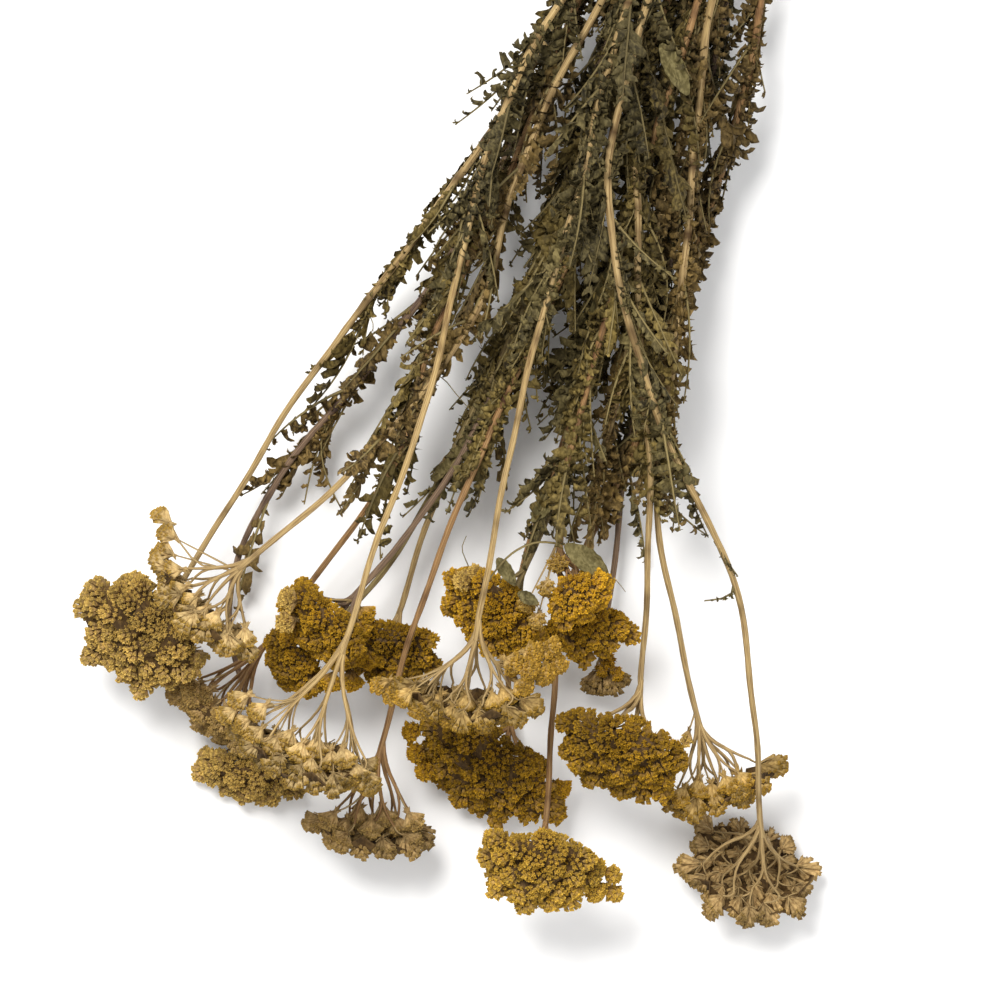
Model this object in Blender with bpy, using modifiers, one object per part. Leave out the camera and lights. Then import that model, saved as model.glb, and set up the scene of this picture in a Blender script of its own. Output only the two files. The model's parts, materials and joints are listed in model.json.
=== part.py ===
"""Dried yarrow: a tied bunch of nineteen leafy stems, laid down, each with one head of florets.

Every stem is one body with its leaves and with the rays that carry its head.
Every head is one body: a dome of floret tufts on a scalloped cup.
The plan of the bunch is given in millimetres, seen from above, with z as the height over the surface.
"""

import math
import random
from collections import namedtuple

import bmesh
import bpy
from mathutils import Matrix, Vector
from mathutils.bvhtree import BVHTree
from mathutils.geometry import delaunay_2d_cdt

MM = 0.001
GOLDEN_ANGLE = math.pi * (3.0 - math.sqrt(5.0))

# The stems and how they pack in the tie
STEM_RADIUS = 2.2
STEM_TOP_RADIUS = 1.45
STEM_STATIONS = 10
SLOT_PITCH = 4.9
STUB_LENGTH = 58.0
STUB_UNEVEN = 9.0
STRAIGHT_LENGTH = 22.0
SEAT_GAP = 0.35

# The tie, which lies on the surface
TWINE_THICKNESS = 2.6
TIE_TURNS = 3
TIE_STEPS = 16
TIE_INNER = 2.0 * SLOT_PITCH + STEM_RADIUS + SEAT_GAP
TIE_OUTER = TIE_INNER + TWINE_THICKNESS
PRESSED = 0.6
TIE_PLACE = Vector((140.0, 395.0, TIE_OUTER - PRESSED))
TIE_COURSE = Vector((0.38, 0.925, 0.0)).normalized()

# The heads
TUFT_PITCH = 11.0
TUFTED_SHARE = 0.90
RIM_SHARE = 1.06
RIM_SCALLOP = 0.055
RIM_PITCH = 24.2
CUP_THICKNESS = 11.0
TUFT_RISE = 6.0
CONE_DROP = 3.5

# The rays under a head
OUTER_RAYS = 6
RAY_STEP = 1.7
FORK_SHARE = 0.55
FORK_TURN = 0.3
FAR_TIP = 0.80
NEAR_TIP = 0.55
RAY_RADIUS = 0.8
RAY_TIP_RADIUS = 0.55

# The leaves
LEAF_STATIONS = 5
LEAF_NECK = 0.8
BLADE_THICKNESS = 0.9
LEAFLET_HOOK = 0.35
LEAFLET_SWEEP = 0.55
RIB_TAPER = 0.35
LEAF_LENGTH = (36.0, 58.0)
LEAF_SLIMNESS = (0.16, 0.21)
LEAF_LEAN = (16.0, 36.0)
LEAF_CURL = (-25.0, 55.0)
LEAF_TWIST = (-60.0, 60.0)
LEAF_STRAY = 7.0
LEAF_TRIES = 14
TRY_TURN = 0.8

# Shares of a fused stem's triangles that may stay when the slivers are taken out
KEPT_SHARES = (0.59, 0.61, 0.63, 0.65, 0.67, 0.70, 0.73, 0.76, 0.80)

Flower = namedtuple("Flower", "name slot route joint face spread depth leafy leaves tone")

# One row for each stem: its slot in the tie (row from the top, place from the left), the points that
# it passes between tie and head, the joint where the rays part, the middle of the florets, the half
# angles of the head across and in depth, the stretch of y that bears leaves, their number, its colour.
FLOWERS = [
    Flower("01", (2, 0), [(32, 225, 40), (8, 185, 42), (-21, 142, 44), (-45, 109, 44), (-89, 51, 40),
                          (-121, 0, 30)], (-152, -49, 32), (-167, -67, 64), 56, 48, (85, 250), 7, "tan"),
    Flower("02", (1, 1), [(30, 195, 58), (10, 155, 62), (-4, 98, 66), (-28, 57, 70), (-58, 21, 80),
                          (-90, -10, 87)], (-116, -31, 91), (-140, -57, 83), 62, 32, (20, 220), 8, "pale"),
    Flower("03", (4, 0), [(55, 228, 24), (35, 160, 26), (15, 100, 32), (-2, 54, 42), (-13, 27, 48),
                          (-30, -1, 54), (-53, -24, 55)], (-68, -46, 54), (-86, -62, 71), 56, 44,
           (25, 240), 7, "gold"),
    Flower("04", (1, 0), [(34, 223, 46), (12, 160, 48), (-10, 116, 52), (-30, 73, 54), (-44, 23, 48),
                          (-60, 3, 40), (-87, -42, 25)], (-111, -72, 24), (-136, -104, 32), 40, 25,
           (15, 200), 8, "brown"),
    Flower("05", (3, 0), [(40, 230, 26), (10, 170, 28), (-20, 115, 30), (-44, 79, 32), (-76, 40, 32),
                          (-97, 14, 26), (-116, -12, 18), (-124, -36, 10), (-121, -70, 4.5)],
           (-111, -108, 4.5), (-118, -135, 18), 58, 38, (-5, 200), 8, "tan"),
    Flower("06", (0, 0), [(24, 218, 62), (-4, 158, 74), (-18, 104, 80), (-32, 44, 86), (-49, -2, 90),
                          (-62, -44, 94)], (-70, -68, 95), (-89, -124, 78), 40, 26, (120, 260), 6, "pale"),
    Flower("07", (2, 2), [(78, 232, 34), (55, 165, 44), (28, 100, 52), (0, 40, 60), (-11, 9, 62),
                          (-17, 2, 63), (-33, -45, 65), (-45, -74, 60), (-51, -96, 50)],
           (-55, -117, 42), (-59, -160, 30), 43, 28, (35, 250), 7, "brown"),
    Flower("08", (3, 1), [(70, 232, 22), (45, 165, 24), (22, 100, 26), (-3, 60, 28), (-15, 30, 30),
                          (-24, 10, 30), (-31, -6, 30), (-43, -36, 28)], (-48, -58, 26),
           (-50, -77, 46), 56, 50, (35, 250), 7, "gold"),
    Flower("09", (0, 1), [(58, 225, 64), (43, 161, 78), (28, 116, 84), (12, 54, 90), (2, 11, 96),
                          (-3, -20, 100), (-6, -45, 102)], (-11, -62, 102), (-16, -99, 87), 58, 29,
           (100, 260), 6, "pale"),
    Flower("10", (4, 1), [(88, 232, 14), (70, 165, 16), (50, 90, 20), (28, 20, 24), (15, -11, 26),
                          (8, -32, 26), (5, -65, 18), (4, -88, 11)], (4, -105, 8.3),
           (-12, -131, 35), 60, 48, (0, 250), 8, "gold"),
    Flower("11", (2, 4), [(117, 219, 36), (105, 162, 34), (85, 103, 34), (72, 50, 32), (50, 0, 28),
                          (23, -60, 17), (23, -84, 36), (25, -107, 53), (24, -128, 54)], (20, -154, 46),
           (16, -172, 73), 58, 47, (10, 250), 8, "bright"),
    Flower("12", (3, 2), [(85, 232, 26), (68, 165, 34), (45, 90, 44), (30, 20, 50), (19, -12, 52)],
           (8, -39, 47), (-8, -57, 70), 56, 42, (-5, 250), 8, "gold"),
    Flower("13", (2, 3), [(92, 232, 44), (70, 165, 54), (52, 100, 60), (36, 36, 64), (27, 6, 64),
                          (23, -14, 62)], (26, -28, 60), (39, -48, 79), 36, 30, (-5, 250), 8, "gold"),
    Flower("14", (3, 3), [(98, 232, 32), (82, 165, 40), (65, 95, 46), (52, 43, 46), (44, 9, 42),
                          (39, -18, 36)], (38, -40, 30), (40, -66, 50), 42, 30, (-5, 250), 8, "gold"),
    Flower("15", (4, 2), [(104, 232, 22), (90, 165, 24), (74, 95, 26), (60, 35, 22), (52, -30, 16)],
           (47, -68, 12), (49, -88, 16), 36, 24, (5, 250), 7, "brown"),
    Flower("16", (1, 2), [(66, 225, 54), (62, 142, 64), (62, 100, 68), (63, 54, 70), (68, 0, 66),
                          (65, -50, 60)], (63, -90, 51), (50, -124, 74), 47, 46, (25, 250), 7, "gold"),
    Flower("17", (1, 3), [(96, 225, 46), (87, 150, 54), (81, 87, 58), (75, 40, 58), (70, -11, 56),
                          (79, -53, 52)], (91, -106, 44), (103, -140, 37.5), 54, 28, (0, 250), 7, "pale"),
    Flower("18", (0, 2), [(75, 250, 58), (54, 170, 74), (46, 120, 80), (56, 84, 82), (63, 55, 82),
                          (75, 25, 80), (98, -16, 76), (110, -65, 73), (115, -117, 68)],
           (118, -152, 43), (111, -176, 9.3), 54, 45, (20, 240), 7, "brown"),
    Flower("19", (2, 1), [(62, 230, 40), (40, 165, 42), (18, 100, 44), (-6, 54, 44), (-24, 15, 42),
                          (-32, 0, 38), (-56, -38, 30)], (-80, -64, 28), (-99, -77, 42), 46, 38,
           (40, 250), 7, "gold"),
]

COLOURS = {
    "stem": (0.51, 0.33, 0.12),
    "tan": (0.43, 0.28, 0.09),
    "pale": (0.50, 0.35, 0.14),
    "gold": (0.42, 0.22, 0.02),
    "bright": (0.52, 0.31, 0.05),
    "brown": (0.28, 0.17, 0.07),
    "twine": (0.45, 0.33, 0.18),
}


def clear_scene():
    for thing in list(bpy.data.objects):
        bpy.data.objects.remove(thing)


def paint(thing, name, roughness):
    """Gives an object a matte dried-plant finish in one of the bunch's colours."""
    made = bpy.data.materials.new(thing.name + "_" + name)
    made.use_nodes = True
    shader = made.node_tree.nodes["Principled BSDF"]
    shader.inputs["Base Color"].default_value = (*COLOURS[name], 1.0)
    shader.inputs["Roughness"].default_value = roughness
    shader.inputs["Metallic"].default_value = 0.0
    thing.data.materials.clear()
    thing.data.materials.append(made)


def mesh_object(name, vertices, faces, collection):
    """A mesh in metres from points in millimetres."""
    mesh = bpy.data.meshes.new(name)
    mesh.from_pydata([Vector(v) * MM for v in vertices], [], faces)
    mesh.update()
    made = bpy.data.objects.new(name, mesh)
    collection.objects.link(made)
    return made


# Stems

def slot_offset(slot):
    """Sideways and upward place of a stem in the tie, where nineteen stems pack as a hexagon."""
    row, place = slot
    in_row = 5 - abs(row - 2)
    side = (place - (in_row - 1) / 2.0) * SLOT_PITCH
    rise = (2 - row) * SLOT_PITCH * math.sqrt(0.75)
    return side, rise


def route_points(flower):
    """The stem's guiding points from the cut end, straight through the tie, to the joint."""
    side, rise = slot_offset(flower.slot)
    across = Vector((TIE_COURSE.y, -TIE_COURSE.x, 0.0))
    middle = TIE_PLACE + across * side + Vector((0.0, 0.0, rise))
    uneven = random.Random("stub" + flower.name).uniform(-STUB_UNEVEN, STUB_UNEVEN)
    points = [middle + TIE_COURSE * (STUB_LENGTH + uneven)]
    points.append(middle + TIE_COURSE * STRAIGHT_LENGTH)
    points.append(middle - TIE_COURSE * STRAIGHT_LENGTH)
    points += [Vector(p) for p in flower.route]
    points.append(Vector(flower.joint))
    return points


def smooth_point(points, at):
    """A point on the Catmull-Rom curve through the points, with at from 0 to 1 over its length."""
    spans = len(points) - 1
    place = min(max(at, 0.0), 1.0) * spans
    k = min(int(place), spans - 1)
    t = place - k
    p1 = points[k]
    p2 = points[k + 1]
    p0 = points[k - 1] if k > 0 else p1 * 2.0 - p2
    p3 = points[k + 2] if k + 2 < len(points) else p2 * 2.0 - p1
    return 0.5 * (2.0 * p1 + (p2 - p0) * t + (2.0 * p0 - 5.0 * p1 + 4.0 * p2 - p3) * t * t
                  + (3.0 * p1 - 3.0 * p2 + p3 - p0) * t * t * t)


def even_route(points, count):
    """Points at equal steps of length along the smooth curve."""
    fine = [smooth_point(points, i / 200.0) for i in range(201)]
    reach = [0.0]
    for a, b in zip(fine, fine[1:]):
        reach.append(reach[-1] + (b - a).length)
    even = []
    k = 0
    for i in range(count):
        want = reach[-1] * i / (count - 1)
        while k < len(fine) - 2 and reach[k + 1] < want:
            k += 1
        part = (want - reach[k]) / max(reach[k + 1] - reach[k], 1e-9)
        even.append(fine[k].lerp(fine[k + 1], part))
    return even


def stem_stations(flower):
    """The tube's points: two hold it straight in the tie, then even steps, then on as the middle ray."""
    points = route_points(flower)
    return points[:2] + even_route(points[2:], STEM_STATIONS) + [tip_points(flower)[0]]


def joint_and_back(flower):
    """The joint, and the course of the stem's last stretch back from it."""
    before, joint = stem_stations(flower)[-3:-1]
    return joint, (before - joint).normalized()


def stem_radii(count):
    """Tapers towards the joint and ends as thin as a ray."""
    fall = (STEM_RADIUS - STEM_TOP_RADIUS) / (count - 2)
    return [STEM_RADIUS - fall * i for i in range(count - 1)] + [RAY_TIP_RADIUS]


def tube_mesh(name, points, radii, collection):
    """A closed six-sided tube along the points: a bevelled curve made a mesh, its caps welded on."""
    curve = bpy.data.curves.new(name, "CURVE")
    curve.dimensions = "3D"
    curve.bevel_depth = STEM_RADIUS * MM
    curve.bevel_resolution = 1
    curve.use_fill_caps = True
    spline = curve.splines.new("POLY")
    spline.points.add(len(points) - 1)
    for spot, point, radius in zip(spline.points, points, radii):
        spot.co = (*(point * MM), 1.0)
        spot.radius = radius / STEM_RADIUS
    guide = bpy.data.objects.new(name + "_guide", curve)
    collection.objects.link(guide)
    reader = bpy.context.evaluated_depsgraph_get()
    mesh = bpy.data.meshes.new_from_object(guide.evaluated_get(reader))
    bpy.data.objects.remove(guide)
    work = bmesh.new()
    work.from_mesh(mesh)
    bmesh.ops.remove_doubles(work, verts=work.verts, dist=1e-6)
    bmesh.ops.recalc_face_normals(work, faces=work.faces)
    bmesh.ops.triangulate(work, faces=work.faces)
    work.to_mesh(mesh)
    work.free()
    made = bpy.data.objects.new(name, mesh)
    collection.objects.link(made)
    return made


# Heads

def head_axes(flower):
    """The head's outward direction, its level direction across, and its depth direction."""
    out = (Vector(flower.face) - Vector(flower.joint)).normalized()
    across = Vector((0.0, 0.0, 1.0)).cross(out).normalized()
    return out, across, out.cross(across)


def head_reach(flower):
    """Distance from the joint to the middle of the florets."""
    return (Vector(flower.face) - Vector(flower.joint)).length


def head_size(flower):
    """Half widths of the head across and in depth, along its curve."""
    reach = head_reach(flower)
    return reach * math.radians(flower.spread), reach * math.radians(flower.depth)


def head_point(flower, s, t, rise):
    """A point of the head: s across and t in depth from -1 to 1, rise out of its middle surface."""
    out, across, deep = head_axes(flower)
    reach = head_reach(flower)
    turn = Vector((math.radians(flower.spread) * s, math.radians(flower.depth) * t))
    angle = turn.length
    flatness = 0.75 + 0.25 / max(math.cos(angle), 0.35)
    course = out * math.cos(angle)
    if angle > 1e-6:
        course += (across * turn.x + deep * turn.y) * (math.sin(angle) / angle)
    return Vector(flower.joint) + course * (reach * flatness + rise)


def edge_wave(flower, angle):
    """The lobed outline of a head as a factor close to 1."""
    phase = random.Random("edge" + flower.name).uniform(0.0, math.tau)
    return 1.0 + 0.05 * math.cos(3.0 * angle + phase) + 0.04 * math.cos(5.0 * angle - 2.0 * phase)


def tuft_places(flower):
    """Tufts spread as seeds in a sunflower do, with a little disorder, and how far each one rises."""
    wide, deep = head_size(flower)
    count = max(16, round(math.pi * wide * deep / TUFT_PITCH ** 2))
    draw = random.Random("tuft" + flower.name)
    places = []
    for i in range(count):
        angle = i * GOLDEN_ANGLE
        ring = math.sqrt((i + 0.5) / count) * TUFTED_SHARE * edge_wave(flower, angle)
        ring += draw.uniform(-0.03, 0.02)
        places.append((ring * math.cos(angle), ring * math.sin(angle), draw.uniform(-0.2, 0.5)))
    return places


def ray_tips(flower):
    """Where the rays meet the cup: one in the middle, then a forked pair for each outer ray."""
    turn = random.Random("ray" + flower.name).uniform(0.0, math.tau)
    tips = [(0.0, 0.0)]
    for i in range(OUTER_RAYS):
        angle = turn + math.tau * i / OUTER_RAYS
        for ring, fork in ((FAR_TIP, -FORK_TURN), (NEAR_TIP, FORK_TURN)):
            tips.append((ring * math.cos(angle + fork), ring * math.sin(angle + fork)))
    return tips


def rim_places(flower):
    wide, deep = head_size(flower)
    count = 2 * max(round(math.pi * (wide + deep) / RIM_PITCH), 6)
    rim = []
    for i in range(count):
        angle = math.tau * i / count
        ring = edge_wave(flower, angle) * (RIM_SHARE + RIM_SCALLOP * (-1) ** i)
        rim.append((ring * math.cos(angle), ring * math.sin(angle)))
    return rim


def relief_sheet(size, peaks, rim):
    """Triangles inside the rim over the peaks, with a low point within each gap between them."""
    flat = [Vector((s * size[0], t * size[1])) for s, t in peaks + rim]
    border = [list(range(len(peaks), len(flat)))]
    first = delaunay_2d_cdt(flat, [], border, 1, 1e-4)
    lows = []
    for face in first[2]:
        corners = [first[3][i][0] for i in face]
        if min(corners) < len(peaks):
            middle = sum((flat[i] for i in corners), Vector((0.0, 0.0))) / 3.0
            lows.append(middle)
    whole = delaunay_2d_cdt(flat + lows, [], border, 1, 1e-4)
    faces = [[whole[3][i][0] for i in face] for face in whole[2]]
    return [(p.x / size[0], p.y / size[1]) for p in lows], faces


def head_object(flower, collection):
    """A dome of tufts over a cup whose cones point at the rays. Both sheets share the rim."""
    size = head_size(flower)
    tufts = tuft_places(flower)
    rim = rim_places(flower)
    tips = ray_tips(flower)
    gaps, dome = relief_sheet(size, [(s, t) for s, t, _ in tufts], rim)
    folds, cup = relief_sheet(size, tips, rim)
    vertices = [head_point(flower, s, t, TUFT_RISE * rise) for s, t, rise in tufts]
    vertices += [head_point(flower, s, t, -0.5 * CUP_THICKNESS) for s, t in rim]
    vertices += [head_point(flower, s, t, -TUFT_RISE) for s, t in gaps]
    first_tip = len(vertices)
    vertices += [head_point(flower, s, t, -CUP_THICKNESS - CONE_DROP) for s, t in tips]
    first_fold = len(vertices)
    vertices += [head_point(flower, s, t, -CUP_THICKNESS) for s, t in folds]

    def cup_index(i):
        if i < len(tips):
            return first_tip + i
        if i < len(tips) + len(rim):
            return len(tufts) + i - len(tips)
        return first_fold + i - len(tips) - len(rim)

    faces = dome + [[cup_index(i) for i in face][::-1] for face in cup]
    return mesh_object("head_" + flower.name, vertices, faces, collection)


# Rays

def forked_ray(root, near, far, collection):
    """A ray with a forked end: a four-sided rod that parts into two three-sided ones."""
    fork = root.lerp((near + far) * 0.5, FORK_SHARE)
    course = (fork - root).normalized()
    apart = near - far
    apart = (apart - course * apart.dot(course)).normalized()
    flank = course.cross(apart)
    vertices = []
    for place, radius in ((root, RAY_RADIUS), (fork, RAY_RADIUS)):
        vertices += [place + apart * radius, place + flank * radius,
                     place - apart * radius, place - flank * radius]
    for place, hand in ((near, 1.0), (far, -1.0)):
        vertices += [place + apart * (hand * RAY_TIP_RADIUS), place + flank * RAY_TIP_RADIUS,
                     place - flank * RAY_TIP_RADIUS]
    faces = [(0, 1, 2, 3)]
    faces += [(k, (k + 1) % 4, 4 + (k + 1) % 4, 4 + k) for k in range(4)]
    faces += [(4, 5, 9, 8), (7, 4, 8, 10), (5, 7, 10, 9), (8, 9, 10)]
    faces += [(6, 5, 12, 11), (7, 6, 11, 13), (7, 5, 12, 13), (11, 12, 13)]
    ray = mesh_object("ray", vertices, faces, collection)
    work = bmesh.new()
    work.from_mesh(ray.data)
    bmesh.ops.recalc_face_normals(work, faces=work.faces)
    bmesh.ops.triangulate(work, faces=work.faces)
    work.to_mesh(ray.data)
    work.free()
    return ray


def tip_points(flower):
    """The ends of the rays, just clear of the cones of the cup."""
    drop = CUP_THICKNESS + CONE_DROP + SEAT_GAP
    return [head_point(flower, s, t, -drop) for s, t in ray_tips(flower)]


def ray_objects(flower, collection):
    """Forked rays that leave the last of the stem one above the other and stop just under the cup."""
    tips = tip_points(flower)
    joint, back = joint_and_back(flower)
    rays = []
    for i in range(OUTER_RAYS):
        root = joint + back * (RAY_STEP * (i + 0.5))
        rays.append(forked_ray(root, tips[1 + 2 * i], tips[2 + 2 * i], collection))
    return rays


# Leaves

def leaf_frames(root, course, face, length, curl, twist):
    """The leaf's rib frames: place, course, side and face direction at each station."""
    frames = []
    place = root.copy()
    step = length / LEAF_STATIONS
    for k in range(LEAF_STATIONS + 1):
        side = course.cross(face).normalized()
        frames.append((place.copy(), course.copy(), side, face.copy()))
        place = place + course * step
        bend = Matrix.Rotation(curl / LEAF_STATIONS, 3, side)
        roll = Matrix.Rotation(twist / LEAF_STATIONS, 3, course)
        course = (roll @ bend @ course).normalized()
        face = (roll @ bend @ face).normalized()
    return frames


def leaf_mesh(frames, width, fat):
    """A thin arched blade on a short stalk, its outline cut to the rib between the leaflets."""
    vertices = []
    for k, (place, course, side, face) in enumerate(frames):
        half = (LEAF_NECK + fat) * (1.0 - RIB_TAPER * k / LEAF_STATIONS)
        vertices += [place - side * half, place + side * half, place + face * (BLADE_THICKNESS + fat)]
    first = len(vertices)
    for k in range(1, LEAF_STATIONS):
        share = (k - 0.4) / (LEAF_STATIONS - 1)
        reach = (width + fat) * math.sin(math.pi * (0.18 + 0.74 * share)) ** 0.7
        place, course, side, face = frames[k]
        middle = place.lerp(frames[k + 1][0], 0.5)
        middle += course * (reach * LEAFLET_SWEEP) + face * (reach * LEAFLET_HOOK)
        vertices += [middle - side * reach, middle + side * reach]
    place, course, side, face = frames[-1]
    vertices.append(place + course * (width * 0.7) + face * (width * 0.2))
    end = 3 * LEAF_STATIONS
    last = len(vertices) - 1
    faces = [(0, 1, 2), (0, 3, 4), (0, 4, 1), (0, 2, 5), (0, 5, 3), (1, 4, 5), (1, 5, 2)]
    for k in range(1, LEAF_STATIONS):
        a = 3 * k
        b = a + 3
        left = first + 2 * (k - 1)
        right = left + 1
        faces += [(a + 2, left, a), (a + 2, b + 2, left), (b + 2, b, left), (a, left, b)]
        faces += [(a + 2, a + 1, right), (a + 2, right, b + 2), (b + 2, right, b + 1), (a + 1, b + 1, right)]
        faces += [(a, b, b + 1), (a, b + 1, a + 1)]
    faces += [(end + 2, last, end), (end + 2, end + 1, last), (end, last, end + 1)]
    return vertices, faces


def leaf_roots(flower):
    """Places on the stem's axis and its course there, spread over the leafy stretch of y."""
    draw = random.Random("root" + flower.name)
    stations = stem_stations(flower)
    low, high = flower.leafy
    roots = []
    for i in range(flower.leaves):
        want = high - (high - low) * (i + draw.uniform(0.2, 0.8)) / flower.leaves
        for a, b in zip(stations, stations[1:]):
            if a.y >= want > b.y:
                roots.append((a.lerp(b, (a.y - want) / (a.y - b.y)), (b - a).normalized()))
                break
    return roots


def leaf_try(flower, index, attempt, root, along):
    """One leaf of a stem, turned about it a little further with each try."""
    draw = random.Random("leaf" + flower.name + str(index))
    length = draw.uniform(*LEAF_LENGTH)
    width = length * draw.uniform(*LEAF_SLIMNESS)
    lean = math.radians(draw.uniform(*LEAF_LEAN))
    curl = math.radians(draw.uniform(*LEAF_CURL))
    twist = math.radians(draw.uniform(*LEAF_TWIST))
    roll = index * GOLDEN_ANGLE + draw.uniform(-0.4, 0.4) + attempt * TRY_TURN
    outward = Matrix.Rotation(roll, 3, along) @ along.orthogonal().normalized()
    course = along * math.cos(lean) + outward * math.sin(lean)
    face = along * math.sin(lean) - outward * math.cos(lean)
    return leaf_frames(root, course, face, length, curl, twist), width


def in_box(box, other):
    return all(box[0][k] <= other[1][k] and other[0][k] <= box[1][k] for k in range(3))


def box_of(points):
    return [min(p[k] for p in points) for k in range(3)], [max(p[k] for p in points) for k in range(3)]


class Room:
    """Remembers the surfaces that stand already, so that a new leaf can be kept clear of them."""

    def __init__(self):
        self.kept = []

    def add(self, owner, points, faces):
        self.kept.append((owner, box_of(points), BVHTree.FromPolygons(points, faces)))

    def add_object(self, owner, thing):
        points = [v.co / MM for v in thing.data.vertices]
        self.add(owner, points, [list(p.vertices) for p in thing.data.polygons])

    def is_clear(self, owner, points, faces):
        box = box_of(points)
        if box[0][2] < SEAT_GAP:
            return False
        tree = BVHTree.FromPolygons(points, faces)
        for other, other_box, other_tree in self.kept:
            if other != owner and in_box(box, other_box) and tree.overlap(other_tree):
                return False
        return True


def fan_sides(y):
    """The least and the greatest x of the stems where they pass a given y."""
    sides = []
    for flower in FLOWERS:
        stations = stem_stations(flower)
        for a, b in zip(stations, stations[1:]):
            if a.y >= y > b.y:
                sides.append(a.lerp(b, (a.y - y) / (a.y - b.y)).x)
    return min(sides), max(sides)


def is_in_fan(tip):
    """Whether a leaf's tip stays within the fan of the stems, or strays out of it only a little."""
    left, right = fan_sides(tip.y)
    return left - LEAF_STRAY <= tip.x <= right + LEAF_STRAY


def leaf_objects(flower, room, collection):
    """The leaves of one stem that stand clear of everything but the stem that bears them."""
    leaves = []
    own = "tube" + flower.name
    for index, (root, along) in enumerate(leaf_roots(flower)):
        for attempt in range(LEAF_TRIES):
            frames, width = leaf_try(flower, index, attempt, root, along)
            if is_in_fan(frames[-1][0]) and room.is_clear(own, *leaf_mesh(frames, width, SEAT_GAP)):
                vertices, faces = leaf_mesh(frames, width, 0.0)
                leaves.append(mesh_object("leaf", vertices, faces, collection))
                room.add("leaf", vertices, faces)
                break
    return leaves


# The tie

def tie_object(collection):
    """Three turns of twine as one ribbed ring, a profile turned about the bunch."""
    profile = []
    pitch = TWINE_THICKNESS
    top = pitch * TIE_TURNS / 2.0
    for turn in range(TIE_TURNS):
        middle = top - pitch * (turn + 0.5)
        for degrees in (90.0, 30.0, -30.0):
            angle = math.radians(degrees)
            radius = TIE_OUTER - pitch / 2.0 + pitch / 2.0 * math.cos(angle)
            profile.append((radius, 0.0, middle + pitch / 2.0 * math.sin(angle)))
    profile.append((TIE_OUTER - pitch / 2.0, 0.0, -top))
    profile.append((TIE_INNER, 0.0, -top))
    profile.append((TIE_INNER, 0.0, top))
    mesh = bpy.data.meshes.new("tie")
    edges = [(i, (i + 1) % len(profile)) for i in range(len(profile))]
    mesh.from_pydata([Vector(p) * MM for p in profile], edges, [])
    made = bpy.data.objects.new("tie", mesh)
    collection.objects.link(made)
    turned = made.modifiers.new("turned", "SCREW")
    turned.steps = TIE_STEPS
    turned.render_steps = TIE_STEPS
    turned.use_merge_vertices = True
    turned.merge_threshold = 0.00001
    made.rotation_mode = "QUATERNION"
    made.rotation_quaternion = TIE_COURSE.to_track_quat("Z", "X")
    made.location = TIE_PLACE * MM
    return made


def evaluated_mesh(thing):
    """The object's mesh with its modifiers applied, in world space."""
    bpy.context.view_layer.update()
    reader = bpy.context.evaluated_depsgraph_get()
    mesh = bpy.data.meshes.new_from_object(thing.evaluated_get(reader))
    mesh.transform(thing.matrix_world)
    return mesh


def freeze(thing):
    """Applies an object's modifiers and its place."""
    mesh = evaluated_mesh(thing)
    thing.modifiers.clear()
    thing.data = mesh
    thing.matrix_world = Matrix.Identity(4)


def crosses_itself(mesh):
    """Whether two faces that share no corner meet."""
    corners = [set(face.vertices) for face in mesh.polygons]
    points = [v.co / MM for v in mesh.vertices]
    tree = BVHTree.FromPolygons(points, [list(face.vertices) for face in mesh.polygons])
    return any(a < b and not corners[a] & corners[b] for a, b in tree.overlap(tree))


def fuse(thing, shoots):
    """Joins all the shoots of a stem to it in one body, with as few slivers as keep it sound."""
    union = thing.modifiers.new("grown together", "BOOLEAN")
    union.operation = "UNION"
    union.operand_type = "COLLECTION"
    union.solver = "MANIFOLD"
    union.collection = shoots
    thing.modifiers.new("flat faces", "TRIANGULATE")
    lean = thing.modifiers.new("no slivers", "DECIMATE")
    lean.use_collapse_triangulate = True
    for share in KEPT_SHARES:
        lean.ratio = share
        if not crosses_itself(evaluated_mesh(thing)):
            break
    freeze(thing)
    for shoot in list(shoots.objects):
        bpy.data.objects.remove(shoot)
    bpy.data.collections.remove(shoots)


def press_flat(thing):
    """Cuts off, level with the surface, what the bunch's weight would press flat on it."""
    work = bmesh.new()
    work.from_mesh(thing.data)
    everything = list(work.verts) + list(work.edges) + list(work.faces)
    bmesh.ops.bisect_plane(work, geom=everything, plane_co=(0.0, 0.0, 0.0), plane_no=(0.0, 0.0, -1.0),
                           clear_outer=True)
    edges = [e for e in work.edges if len(e.link_faces) == 1]
    if edges:
        bmesh.ops.holes_fill(work, edges=edges, sides=0)
        bmesh.ops.triangulate(work, faces=work.faces)
    work.to_mesh(thing.data)
    work.free()


def lay_down(things):
    """Presses the lowest places flat and puts the origin on the surface, under the bunch's middle."""
    for thing in things:
        press_flat(thing)
    low, high = box_of([v.co for thing in things for v in thing.data.vertices])
    shift = Vector((-(low[0] + high[0]) / 2.0, -(low[1] + high[1]) / 2.0, 0.0))
    for thing in things:
        thing.data.transform(Matrix.Translation(shift))


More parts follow.
